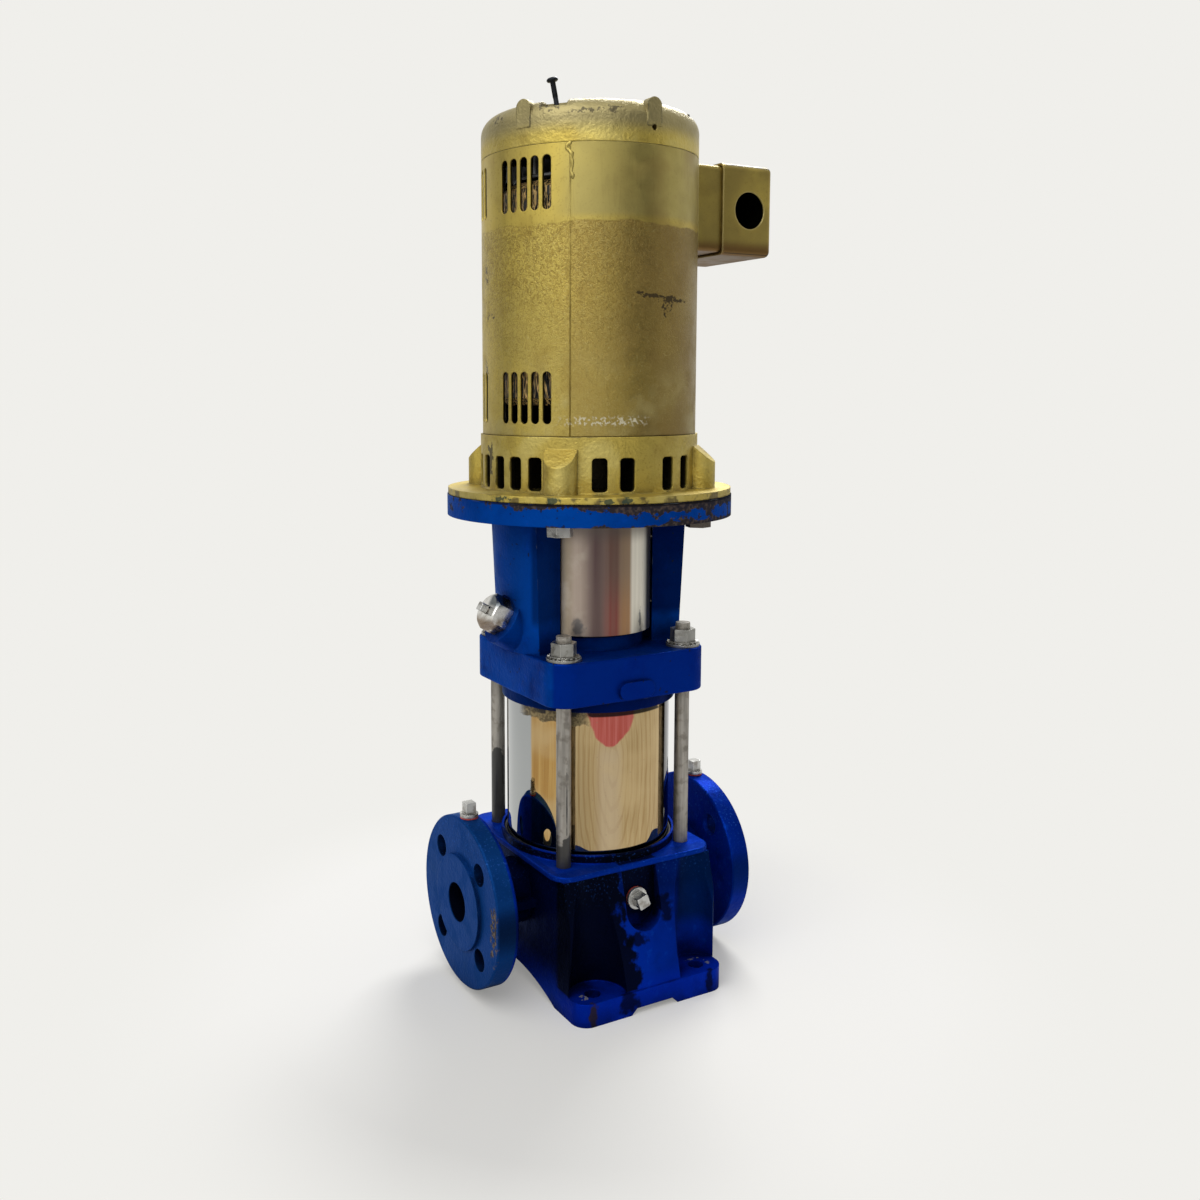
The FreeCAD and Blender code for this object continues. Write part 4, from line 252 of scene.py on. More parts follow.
class Finish:
    """A material in the making: colour, roughness and height are built up in turn."""

    def __init__(self, name, colour, metallic=0.0, roughness=0.5):
        self.material = bpy.data.materials.new(name)
        self.material.use_nodes = True
        self.tree = self.material.node_tree
        self.shader = self.tree.nodes["Principled BSDF"]
        self.place = put(self.tree, "ShaderNodeTexCoord").outputs["Object"]
        self.colour = colour
        self.roughness = roughness
        self.metallic = metallic
        self.height = None
        self.normal = None

    def blotches(self, size, low, high, fineness=4.0, warp=0.0, place=None):
        return use(self.tree, BLOTCHES, Place=place or self.place, Size=size, Low=low, High=high,
                   Fineness=fineness, Warp=warp)

    def spot(self, centre, reach, ragged=0.6, grain=250.0, soft=0.25):
        return use(self.tree, SPOT, Place=self.place, Centre=centre, Reach=reach, Ragged=ragged,
                   Grain=grain, Soft=soft)

    def stretched(self, x, y, z):
        """The place, drawn out along an axis, for streaks and brush lines."""
        return put(self.tree, "ShaderNodeMapping", {"Vector": self.place, "Scale": (x, y, z)}
                   ).outputs[0]

    def axes(self, place=None):
        split = put(self.tree, "ShaderNodeSeparateXYZ", {0: place or self.place})
        return split.outputs[0], split.outputs[1], split.outputs[2]

    def front_axes(self):
        """Across, away and up, turned so that across runs past the front left corner."""
        turned = put(self.tree, "ShaderNodeMapping",
                     {"Vector": self.place, "Rotation": (0.0, 0.0, FRONT_TURN)})
        return self.axes(turned.outputs[0])

    def plus(self, first, second):
        return sums(self.tree, "ADD", first, second)

    def less(self, first, second):
        return sums(self.tree, "SUBTRACT", first, second)

    def times(self, first, second):
        return sums(self.tree, "MULTIPLY", first, second)

    def size(self, value):
        """A value without its sign."""
        return sums(self.tree, "ABSOLUTE", value)

    def ramp(self, value, low, high):
        return span(self.tree, value, low, high)

    def mixed(self, amount, under, over):
        return blend(self.tree, amount, under, over)

    def both(self, *masks):
        result = masks[0]
        for mask in masks[1:]:
            result = self.times(result, mask)
        return result

    def either(self, *masks):
        result = masks[0]
        for mask in masks[1:]:
            result = sums(self.tree, "MAXIMUM", result, mask)
        return result

    def tint(self, mask, colour, amount=1.0):
        if amount != 1.0:
            mask = self.times(mask, amount)
        self.colour = self.mixed(mask, self.colour, colour)

    def dull(self, mask, roughness):
        item = put(self.tree, "ShaderNodeMix", {0: mask, 2: self.roughness, 3: roughness})
        self.roughness = item.outputs[0]

    def bare(self, mask, metallic):
        item = put(self.tree, "ShaderNodeMix", {0: mask, 2: self.metallic, 3: metallic})
        self.metallic = item.outputs[0]

    def raised(self, value, amount):
        """Adds to the height, in metres."""
        part = self.times(value, amount)
        self.height = part if self.height is None else self.plus(self.height, part)

    def edges(self, reach=0.001, size=120.0, keep=0.45):
        mask = use(self.tree, EDGES, Place=self.place, Reach=reach, Size=size, Keep=keep)
        self.normal = mask.node.outputs["Normal"]
        return mask

    # Dirt and painted shade in corners, from ambient occlusion
    def crevices(self, reach=0.01, size=60.0):
        return use(self.tree, CREVICES, Place=self.place, Reach=reach, Size=size)

    def swirls(self, size, thin, place=None):
        return use(self.tree, SWIRLS, Place=place or self.place, Size=size, Thin=thin)

    def done(self, **settings):
        shader = self.shader
        feed(self.tree, shader.inputs["Base Color"], self.colour)
        feed(self.tree, shader.inputs["Roughness"], self.roughness)
        feed(self.tree, shader.inputs["Metallic"], self.metallic)
        for name, value in settings.items():
            shader.inputs[name.replace("_", " ")].default_value = value
        normal = self.normal
        if self.height is not None:
            bump = put(self.tree, "ShaderNodeBump", {"Height": self.height, "Distance": 1.0})
            if normal is not None:
                feed(self.tree, bump.inputs["Normal"], normal)
            normal = bump.outputs[0]
        if normal is not None:
            feed(self.tree, shader.inputs["Normal"], normal)
        return self.material


# Paint of the motor

def gold_base(name, roughness=0.38):
    paint = Finish(name, GOLD, metallic=0.78, roughness=roughness)
    paint.tint(paint.blotches(11.0, 0.38, 0.70), GOLD_DULL, 0.6)
    paint.tint(paint.blotches(38.0, 0.50, 0.78), GOLD_DEEP, 0.5)
    paint.tint(paint.blotches(520.0, 0.56, 0.70, 2.0), GOLD_DEEP, 0.35)
    paint.raised(paint.blotches(1100.0, 0.3, 0.7, 3.0), 0.000012)
    paint.dull(paint.blotches(60.0, 0.4, 0.7), roughness + 0.12)
    return paint


def round_inside(paint, shell, wall, low, high):
    """The dark inside of a round shell: a mask from its radius, between two heights."""
    x, y, z = paint.axes()
    flat = put(paint.tree, "ShaderNodeCombineXYZ", {0: x, 1: y})
    radius = put(paint.tree, "ShaderNodeVectorMath", {0: flat.outputs[0]}, operation="LENGTH")
    return paint.both(paint.ramp(radius.outputs["Value"], shell, wall),
                      paint.ramp(z, low, low + 0.0006), paint.ramp(z, high + 0.0006, high))


def gold_frame():
    """The frame: smooth above, a finely wrinkled band under that, scratched below; painted shade on
    its front right below the band, dirt and painted shade in its corners, and near-black painted
    shade inside.
    """
    paint = gold_base("gold_frame")
    x, _, z = paint.axes()
    wave = paint.times(paint.blotches(38.0, 0.2, 0.8), 0.005)
    level = paint.plus(z, wave)
    below = paint.ramp(level, 0.6190, 0.6172)
    band = paint.both(below, paint.ramp(level, 0.475, 0.60))
    facing = paint.ramp(x, -0.070, -0.050)
    right = paint.both(paint.ramp(x, -0.062, 0.030), paint.ramp(x, 0.079, 0.066))
    paint.tint(paint.both(below, facing), (0.27, 0.19, 0.058), 0.5)
    # Painted shade: the front right below the band darker, as if lit from the left
    paint.tint(paint.both(below, right), (0.165, 0.110, 0.030), 0.62)
    paint.tint(paint.both(paint.ramp(z, 0.617, 0.623), facing), (0.315, 0.270, 0.098), 0.65)
    dents = paint.blotches(330.0, 0.46, 0.56, 3.0, 1.2)
    cracks = paint.swirls(240.0, 0.055)
    long_cracks = paint.swirls(120.0, 0.016, paint.stretched(1.0, 1.0, 1.6))
    paint.tint(paint.both(dents, band), GOLD_DEEP, 0.42)
    paint.tint(paint.both(cracks, band), (0.115, 0.075, 0.022), 0.50)
    paint.tint(paint.both(cracks, below), GOLD_DEEP, 0.35)
    paint.raised(paint.both(dents, band), -0.00007)
    paint.raised(paint.both(cracks, below), -0.00005)
    paint.tint(paint.both(long_cracks, below), (0.52, 0.44, 0.17), 0.35)
    low_wear = paint.both(paint.ramp(z, 0.530, 0.470), paint.blotches(26.0, 0.45, 0.62))
    paint.tint(low_wear, (0.42, 0.36, 0.15), 0.5)
    upright = paint.swirls(1.0, 0.02, paint.stretched(90.0, 90.0, 7.0))
    paint.tint(upright, (0.16, 0.11, 0.035), 0.12)
    brown = paint.both(paint.ramp(x, -0.040, 0.000), paint.ramp(x, 0.066, 0.046),
                       paint.blotches(17.0, 0.40, 0.58, 5.0))
    paint.tint(brown, (0.205, 0.135, 0.036), 0.5)
    marks = paint.either(
        paint.spot((-0.008, -0.0875, 0.5632), (0.004, 0.01, 0.0016), 0.9, 420.0),
        paint.spot((0.003, -0.0875, 0.5620), (0.010, 0.01, 0.0013), 1.1, 340.0),
        paint.spot((0.019, -0.085, 0.5598), (0.008, 0.01, 0.0024), 1.0, 380.0),
        paint.spot((0.032, -0.081, 0.5590), (0.007, 0.01, 0.0014), 1.0, 340.0),
        paint.both(paint.spot((0.017, -0.086, 0.553), (0.008, 0.01, 0.006), 0.9, 260.0),
                   paint.blotches(420.0, 0.50, 0.58)))
    sides = paint.both(paint.blotches(260.0, 0.44, 0.54), paint.either(
        paint.spot((-0.0866, 0.0136, 0.583), (0.01, 0.006, 0.011), 0.9, 260.0),
        paint.spot((-0.0873, 0.006, 0.549), (0.01, 0.007, 0.003), 0.8, 300.0),
        paint.spot((-0.0866, 0.015, 0.505), (0.01, 0.004, 0.010), 0.9, 300.0)))
    paint.tint(paint.either(marks, sides), (0.035, 0.024, 0.012), 0.85)
    paint.dull(marks, 0.7)
    chalk = paint.both(paint.ramp(z, 0.4625, 0.4655), paint.ramp(z, 0.4725, 0.4690),
                       facing, paint.ramp(x, 0.004, -0.01), paint.blotches(420.0, 0.50, 0.62))
    paint.tint(chalk, (0.66, 0.62, 0.47), 0.7)
    paint.bare(chalk, 0.1)
    paint.tint(paint.edges(0.0008, 90.0, 0.5), (0.09, 0.06, 0.02), 0.5)
    # Dirt and painted shade in the corners
    paint.tint(paint.crevices(0.004, 80.0), (0.06, 0.04, 0.015), 0.7)
    # Painted shade: the inside of the frame near black
    inside = round_inside(paint, 0.0872, 0.0862, FRAME_FOOT, FRAME_HEAD)
    paint.tint(inside, (0.006, 0.005, 0.004), 0.97)
    return paint.done()


def gold_bell():
    """Cast bells: grainy paint, chips along the sharp edges, painted shade on the crown, dirt and
    painted shade in the corners, and near-black painted shade inside.
    """
    paint = gold_base("gold_bell", 0.42)
    paint.raised(paint.blotches(420.0, 0.3, 0.7, 3.0), 0.00014)
    paint.raised(paint.blotches(90.0, 0.2, 0.8, 3.0), 0.00034)
    paint.tint(paint.blotches(30.0, 0.48, 0.66), (0.56, 0.48, 0.17), 0.5)
    z = paint.axes()[2]
    # Painted shade: the crown a duller, darker olive
    paint.tint(paint.ramp(z, 0.677, 0.691), (0.290, 0.245, 0.115), 0.95)
    chips = paint.both(paint.edges(0.0016, 95.0, 0.50), paint.blotches(34.0, 0.44, 0.56))
    paint.tint(chips, (0.030, 0.036, 0.034), 0.88)
    paint.dull(chips, 0.6)
    # Dirt and painted shade in the corners
    paint.tint(paint.crevices(0.012, 60.0), (0.085, 0.060, 0.020), 0.75)
    rim = paint.both(paint.ramp(z, 0.4121, 0.4112), paint.blotches(70.0, 0.52, 0.60, 6.0))
    paint.tint(rim, (0.10, 0.075, 0.032), 0.8)
    knocks = paint.either(
        paint.spot((-0.0345, -0.1115, 0.4095), (0.006, 0.012, 0.0028), 0.8, 260.0),
        paint.spot((-0.0485, -0.1065, 0.4090), (0.005, 0.012, 0.0024), 0.8, 260.0),
        paint.spot((-0.0820, -0.0836, 0.4094), (0.006, 0.008, 0.0026), 0.8, 260.0),
        paint.spot((-0.1072, -0.0469, 0.4090), (0.008, 0.008, 0.0022), 0.8, 260.0))
    paint.tint(knocks, (0.020, 0.050, 0.040), 0.85)
    smear = paint.spot((-0.0895, 0.004, 0.437), (0.01, 0.005, 0.012), 0.9, 220.0)
    paint.tint(smear, (0.05, 0.038, 0.018), 0.85)
    worn = paint.either(
        paint.spot((-0.0837, -0.0069, 0.6962), (0.01, 0.008, 0.004), 0.8, 240.0),
        paint.spot((-0.0457, -0.0705, 0.6950), (0.014, 0.014, 0.0022), 0.9, 240.0),
        paint.spot((-0.0686, -0.0485, 0.6990), (0.010, 0.010, 0.003), 0.9, 240.0),
        paint.spot((-0.027, -0.082, 0.6966), (0.008, 0.01, 0.0036), 0.5, 200.0))
    paint.tint(paint.both(worn, paint.blotches(300.0, 0.46, 0.56)), (0.055, 0.045, 0.028), 0.8)
    # Painted shade: the inside of the bells near black
    inside = round_inside(paint, 0.0889, 0.0868, BELL_FLOOR, 0.4560)
    paint.tint(inside, (0.005, 0.0045, 0.004), 0.97)
    return paint.done()


def gold_box():
    """Pressed sheet boxes: even paint, painted highlights on the rounded edges, brown along the
    bottom, dirt and painted shade in the corners, and near-black painted shade inside.
    """
    paint = gold_base("gold_box", 0.36)
    paint.tint(paint.blotches(16.0, 0.20, 0.60), (0.20, 0.148, 0.040), 0.8)
    x, y, z = paint.axes()
    low = paint.ramp(z, 0.616, 0.6060)
    paint.tint(low, (0.130, 0.062, 0.016), 0.85)
    # Painted highlights: the rounded edges a lighter gold
    paint.tint(paint.edges(0.0022, 40.0, 0.1), (0.50, 0.42, 0.19), 0.6)
    chips = paint.both(paint.edges(0.0018, 220.0, 0.45), paint.ramp(x, 0.1490, 0.1515))
    paint.tint(chips, (0.03, 0.02, 0.015), 0.9)
    # Dirt and painted shade in the corners
    paint.tint(paint.crevices(0.006, 70.0), (0.06, 0.04, 0.015), 0.8)
    # Painted shade: the inside of the box near black
    wide = paint.size(y)
    tall = paint.size(paint.less(z, BOX_MIDDLE))
    inside = paint.both(paint.ramp(wide, 0.0442, 0.0436), paint.ramp(tall, 0.0362, 0.0356),
                        paint.ramp(x, 0.1512, 0.1506), paint.ramp(x, 0.1030, 0.1040))
    paint.tint(inside, (0.004, 0.004, 0.005), 0.97)
    return paint.done()


# Paint of the castings

def blue_base(name, colour):
    paint = Finish(name, colour, metallic=0.42, roughness=0.36)
    paint.tint(paint.blotches(15.0, 0.40, 0.72), BLUE_DEEP, 0.65)
    paint.tint(paint.blotches(48.0, 0.54, 0.76), (0.0, 0.006, 0.075), 0.55)
    paint.tint(paint.blotches(130.0, 0.58, 0.75), (0.002, 0.050, 0.42), 0.4)
    paint.raised(paint.blotches(420.0, 0.3, 0.7, 3.0), 0.00009)
    paint.raised(paint.blotches(75.0, 0.2, 0.8, 3.0), 0.00022)
    paint.dull(paint.blotches(55.0, 0.45, 0.65), 0.52)
    return paint


def blue_foot():
    """The foot: black round the front pockets, chips on the rims and at the holes; painted light on
    the deck, painted shade in the bores, holes and recess, and dirt with painted shade in its lower
    corners.
    """
    paint = blue_base("blue_foot", FOOT_BLUE)
    x, y, z = paint.axes()
    face = paint.ramp(x, -0.1065, -0.1075)
    paint.tint(face, (0.004, 0.042, 0.160), 0.85)
    paint.tint(paint.both(paint.ramp(z, 0.034, 0.016), paint.ramp(y, -0.06, -0.09)),
               (0.0, 0.017, 0.36), 0.6)
    jag = paint.times(paint.less(paint.blotches(95.0, 0.2, 0.8, 6.0), 0.5), 0.020)
    across = paint.plus(x, jag)
    slope = paint.times(z, -0.10)
    limit = paint.less(across, slope)
    front = paint.ramp(y, -0.066, -0.072)
    left_dark = paint.both(paint.ramp(limit, -0.0085, -0.0150), front,
                           paint.ramp(z, 0.0185, 0.0205))
    upper_dark = paint.both(paint.ramp(z, 0.070, 0.092), front)
    side_dark = paint.both(paint.ramp(x, -0.0685, -0.0695), paint.ramp(x, -0.098, -0.093),
                           paint.ramp(y, 0.085, 0.05), paint.ramp(z, 0.004, 0.040))
    paint.tint(upper_dark, (0.0, 0.005, 0.050), 0.75)
    paint.tint(side_dark, BLACK_SOOT_AND_SHADE, 0.90)
    paint.tint(left_dark, BLACK_SOOT_AND_SHADE, 0.97)
    right_dark = paint.both(paint.ramp(x, 0.036, 0.044), paint.ramp(z, 0.040, 0.060), front)
    paint.tint(right_dark, (0.0, 0.008, 0.040), 0.85)
    smudges = paint.either(
        paint.spot((-0.010, -0.092, 0.056), (0.012, 0.03, 0.006), 0.6, 130.0, 0.4),
        paint.spot((-0.026, -0.1045, 0.012), (0.013, 0.006, 0.009), 0.6, 110.0, 0.5),
        paint.spot((0.054, -0.1045, 0.012), (0.006, 0.008, 0.010), 0.7, 130.0, 0.5),
        paint.spot((0.020, -0.092, 0.075), (0.010, 0.03, 0.014), 0.6, 130.0, 0.5))
    paint.tint(smudges, BLACK_SOOT_AND_SHADE, 0.85)
    streak = paint.spot((-0.0575, -0.1045, 0.009), (0.0045, 0.008, 0.013), 0.5, 160.0, 0.4)
    paint.tint(streak, (0.030, 0.020, 0.016), 0.9)
    between = paint.ramp(paint.size(x), DECK_HALF + 0.001, DECK_HALF - 0.001)
    ring = paint.both(paint.ramp(z, 0.1134, 0.1140), paint.ramp(z, 0.1192, 0.1186), between)
    paint.tint(ring, BLACK_SOOT_AND_SHADE, 0.95)
    # Painted light: the deck's top a brighter blue
    deck = paint.both(paint.ramp(z, 0.1085, 0.1095), paint.ramp(z, 0.1136, 0.1130), between)
    paint.tint(deck, (0.0, 0.030, 0.36), 0.6)
    # Painted shade: the port's bore and the flange's bolt holes near black
    high = paint.less(z, PORT_HEIGHT)
    bore = put(paint.tree, "ShaderNodeCombineXYZ", {0: y, 1: high}).outputs[0]
    hole = put(paint.tree, "ShaderNodeCombineXYZ", {
        0: paint.less(paint.size(y), FLANGE_HOLE_OFF),
        1: paint.less(paint.size(high), FLANGE_HOLE_OFF)}).outputs[0]
    out = paint.ramp(paint.size(x), 0.1080, 0.1084)
    for place, wide in ((bore, PORT_EDGE), (hole, FLANGE_HOLE_EDGE)):
        length = put(paint.tree, "ShaderNodeVectorMath", {0: place}, operation="LENGTH")
        off = length.outputs["Value"]
        rim_inset = paint.ramp(paint.size(x), 0.1250, 0.1238)
        paint.tint(paint.both(paint.ramp(off, wide, wide - 0.0004), out, rim_inset), BLACK_SOOT_AND_SHADE, 0.96)
    # Painted shade: near black in the front recess, the strip running on through to the back
    recess = paint.both(paint.ramp(y, -0.0780, -0.0770), paint.ramp(x, -0.0185, -0.0165),
                        paint.ramp(x, 0.0185, 0.0165), paint.ramp(z, 0.062, 0.070))
    paint.tint(recess, BLACK_SOOT_AND_SHADE, 0.9)
    # Dirt and painted shade in the corners below the deck
    paint.tint(paint.both(paint.crevices(0.030, 40.0), paint.ramp(z, 0.108, 0.104)), BLACK_SOOT_AND_SHADE, 0.9)
    rim = paint.both(paint.spot((-0.1225, -0.061, 0.072), (0.0045, 0.007, 0.026), 0.55, 140.0, 0.3),
                     paint.blotches(230.0, 0.44, 0.52, 6.0))
    worn = paint.both(paint.edges(0.0013, 120.0, 0.52), paint.blotches(24.0, 0.48, 0.60))
    holes = paint.both(paint.blotches(330.0, 0.48, 0.56), paint.either(
        paint.spot((-0.0595, -0.0925, 0.019), (0.0035, 0.005, 0.003), 0.6, 260.0),
        paint.spot((0.053, -0.0815, 0.019), (0.006, 0.002, 0.003), 0.6, 260.0),
        paint.spot((0.0608, -0.0915, 0.019), (0.003, 0.005, 0.003), 0.6, 260.0)))
    paint.tint(rim, paint.mixed(paint.blotches(400.0, 0.4, 0.6), (0.055, 0.045, 0.034),
                                (0.19, 0.145, 0.10)), 0.92)
    paint.tint(worn, (0.004, 0.006, 0.016), 0.8)
    paint.tint(holes, (0.30, 0.29, 0.27), 0.8)
    paint.dull(paint.either(rim, worn), 0.75)
    paint.raised(rim, -0.0001)
    glints = paint.both(paint.blotches(600.0, 0.60, 0.70, 2.0), paint.ramp(z, 0.075, 0.135))
    paint.tint(glints, (0.04, 0.15, 0.60), 0.35)
    return paint.done(Specular_IOR_Level=0.03, Specular_Tint=BLUE_GLEAM)


def blue_stool():
    """The stool: rust that grows to the right round the adapter's rim, worn front edges, painted
    light on the left leg, painted shade on the right and inner legs, on the head plate's front, on
    the ring below it and in the corners.
    """
    paint = blue_base("blue_stool", STOOL_BLUE)
    across, away, z = paint.front_axes()
    rim = paint.both(paint.ramp(z, 0.3884, 0.3888), paint.ramp(away, -0.002, -0.012))
    upper = paint.both(paint.ramp(z, 0.3975, 0.4050), paint.ramp(across, -0.098, -0.050))
    lower = paint.both(paint.ramp(z, 0.3930, 0.3892), paint.ramp(across, -0.046, -0.010))
    grown = paint.ramp(across, -0.020, 0.060)
    noise = put(paint.tree, "ShaderNodeTexNoise",
                {"Vector": paint.stretched(1.0, 1.0, 1.3), "Scale": 74.0, "Detail": 8.0,
                 "Roughness": 0.62})
    level = paint.plus(noise.outputs[0], paint.times(upper, 0.20))
    level = paint.plus(level, paint.times(lower, 0.17))
    level = paint.plus(level, paint.times(grown, 0.095))
    rust = paint.both(rim, paint.ramp(level, 0.622, 0.642))
    paint.tint(paint.ramp(z, 0.3886, 0.3892), (0.001, 0.062, 0.360), 0.4)
    paint.tint(rust, paint.mixed(paint.blotches(300.0, 0.46, 0.66), RUST,
                                 (0.092, 0.066, 0.045)), 0.96)
    line = paint.both(rim, paint.ramp(z, 0.4046, 0.4053), paint.ramp(across, -0.10, -0.07),
                      paint.blotches(45.0, 0.30, 0.42))
    paint.tint(line, (0.010, 0.008, 0.008), 0.85)
    paint.dull(rust, 0.78)
    paint.raised(rust, -0.00018)
    shade = paint.both(paint.ramp(across, 0.010, 0.045), paint.ramp(z, 0.300, 0.310),
                       paint.ramp(z, 0.389, 0.387))
    paint.tint(shade, (0.0, 0.003, 0.040), 0.8)
    # Painted light: the left leg a lighter blue
    left = paint.both(paint.ramp(across, -0.040, -0.062), paint.ramp(z, 0.300, 0.312),
                      paint.ramp(z, 0.389, 0.387))
    paint.tint(left, (0.003, 0.050, 0.27), 0.5)
    # Painted shade: the head plate's front right darker
    plate = paint.both(paint.ramp(across, -0.034, -0.030), paint.ramp(z, 0.2815, 0.2805),
                       paint.ramp(away, 0.0, -0.01))
    paint.tint(plate, (0.0, 0.012, 0.185), 0.8)
    # Painted shade: the inner faces of the legs darker
    inner = paint.both(paint.ramp(across, -0.0500, -0.0460), paint.ramp(across, -0.020, -0.028),
                       paint.ramp(z, 0.300, 0.312), paint.ramp(z, 0.389, 0.387))
    paint.tint(inner, (0.0, 0.009, 0.060), 0.7)
    # Painted shade: the ring under the head plate darker at the front
    ring = paint.both(paint.ramp(z, 0.2458, 0.2448), paint.ramp(away, 0.0, -0.01))
    paint.tint(ring, (0.0, 0.003, 0.030), 0.75)
    worn = paint.both(paint.edges(0.0012, 70.0, 0.52), paint.blotches(30.0, 0.46, 0.58))
    paint.tint(worn, (0.20, 0.22, 0.24), 0.6)
    specks = paint.blotches(240.0, 0.73, 0.76, 1.0)
    paint.tint(specks, (0.012, 0.012, 0.016), 0.8)
    # Dirt and painted shade in the corners, then wider painted shade between the parts
    paint.tint(paint.crevices(0.018, 40.0), BLACK_SOOT_AND_SHADE, 0.85)
    paint.tint(paint.crevices(0.075, 12.0), (0.0, 0.008, 0.075), 0.75)
    return paint.done(Specular_IOR_Level=0.03, Specular_Tint=BLUE_GLEAM)


# Metals

def mirror_sleeve():
    """Polished sheet: a cool side, a tan side painted with a reflection of wood, its cathedral
    grain and a crimson patch, dirt under the head, a painted shadow of the head's ring just above
    the dirt, and a painted dark reflection along the right edge.
    """
    metal = Finish("mirror_sleeve", (0.385, 0.400, 0.400), metallic=1.0, roughness=0.03)
    across, away, z = metal.front_axes()
    near = metal.ramp(away, -0.010, -0.030)
    # Painted reflection: most of the front mirrors tan and golden wood, with its grain and knot
    # marks
    reflection_side = metal.both(near, metal.ramp(across, -0.0495, -0.0475))
    lines = metal.blotches(1.0, 0.35, 0.65, 3.0, 0.4, metal.stretched(420.0, 420.0, 9.0))
    wood = metal.mixed(lines, (0.470, 0.350, 0.180), (0.400, 0.285, 0.135))
    golden = metal.mixed(lines, (0.500, 0.325, 0.115), (0.370, 0.210, 0.065))
    metal.tint(reflection_side, metal.mixed(metal.ramp(across, -0.020, -0.028), wood, golden))
    bent = put(metal.tree, "ShaderNodeCombineXYZ", {
        0: metal.times(metal.less(across, 0.017), 2.6),
        1: metal.times(metal.less(z, 0.190), 0.62)}).outputs[0]
    arcs = put(metal.tree, "ShaderNodeTexWave",
               {"Vector": bent, "Scale": 30.0, "Distortion": 3.2, "Detail": 2.0,
                "Detail Scale": 1.4}, wave_type="RINGS", rings_direction="Z").outputs["Fac"]
    grain = metal.both(reflection_side, metal.ramp(arcs, 0.30, 0.05), metal.ramp(across, -0.022, -0.015))
    metal.tint(grain, (0.300, 0.185, 0.075), 0.45)
    middle = metal.both(reflection_side, metal.ramp(across, -0.001, 0.010), metal.ramp(across, 0.028, 0.018),
                        metal.ramp(z, 0.222, 0.198))
    metal.tint(middle, (0.50, 0.40, 0.27), 0.6)
    metal.tint(metal.both(reflection_side, metal.blotches(26.0, 0.42, 0.68, 2.0)), (0.53, 0.40, 0.21), 0.6)
    streak = metal.spot((0.0445, -0.0545, 0.177), (0.0025, 0.004, 0.009), 0.4, 120.0, 0.7)
    metal.tint(streak, (0.30, 0.22, 0.20), 0.5)
    reflected_knots = metal.either(
        metal.spot((0.0485, -0.0492, 0.1637), (0.0016, 0.003, 0.0012), 0.4, 300.0),
        metal.spot((0.0525, -0.0445, 0.1545), (0.0020, 0.003, 0.0036), 0.5, 300.0),
        metal.spot((0.0585, -0.0370, 0.1612), (0.0045, 0.006, 0.0005), 0.4, 300.0),
        metal.spot((0.0540, -0.0430, 0.190), (0.0008, 0.001, 0.0008), 0.3, 300.0))
    metal.tint(metal.both(reflected_knots, reflection_side), (0.14, 0.06, 0.035), 0.8)
    # Painted reflection: a crimson patch below the head
    fall = metal.times(sums(metal.tree, "POWER", metal.ramp(z, 0.2064, 0.2360), 0.34), 0.0205)
    off = metal.size(metal.less(across, 0.0150))
    wander = metal.times(metal.less(metal.blotches(70.0, 0.2, 0.8), 0.5), 0.004)
    inset = metal.less(metal.plus(fall, wander), off)
    red_reflection = metal.both(metal.ramp(inset, 0.0, 0.0022), metal.ramp(z, 0.2064, 0.2090), near)
    rosy = metal.mixed(lines, (0.40, 0.068, 0.060), (0.50, 0.125, 0.115))
    metal.tint(red_reflection, rosy, 0.94)
    edge = metal.plus(0.2225, metal.times(metal.blotches(60.0, 0.2, 0.8, 5.0), 0.007))
    hang = metal.ramp(metal.less(z, edge), 0.0, 0.0012)
    dirt = metal.both(hang, near, metal.ramp(across, -0.059, -0.052),
                      metal.ramp(across, 0.000, -0.010))
    grit = metal.mixed(metal.blotches(420.0, 0.42, 0.60), (0.085, 0.062, 0.026),
                       (0.25, 0.19, 0.085))
    metal.tint(dirt, grit, 0.93)
    metal.bare(dirt, 0.25)
    metal.dull(dirt, 0.6)
    # Painted shadow: near black just under the head's ring
    black = metal.both(metal.ramp(z, 0.2318, 0.2330), near, metal.ramp(across, -0.052, -0.040),
                       metal.blotches(80.0, 0.35, 0.45))
    metal.tint(black, (0.008, 0.007, 0.008), 0.95)
    # Painted reflection: the right edge dark
    metal.tint(metal.ramp(across, 0.0600, 0.0625), (0.03, 0.035, 0.05), 0.93)
    specks = metal.both(metal.blotches(700.0, 0.72, 0.78, 1.0), reflection_side)
    metal.tint(specks, (0.25, 0.18, 0.12), 0.5)
    metal.raised(metal.blotches(9.0, 0.2, 0.8, 2.0), 0.0001)
    return metal.done()


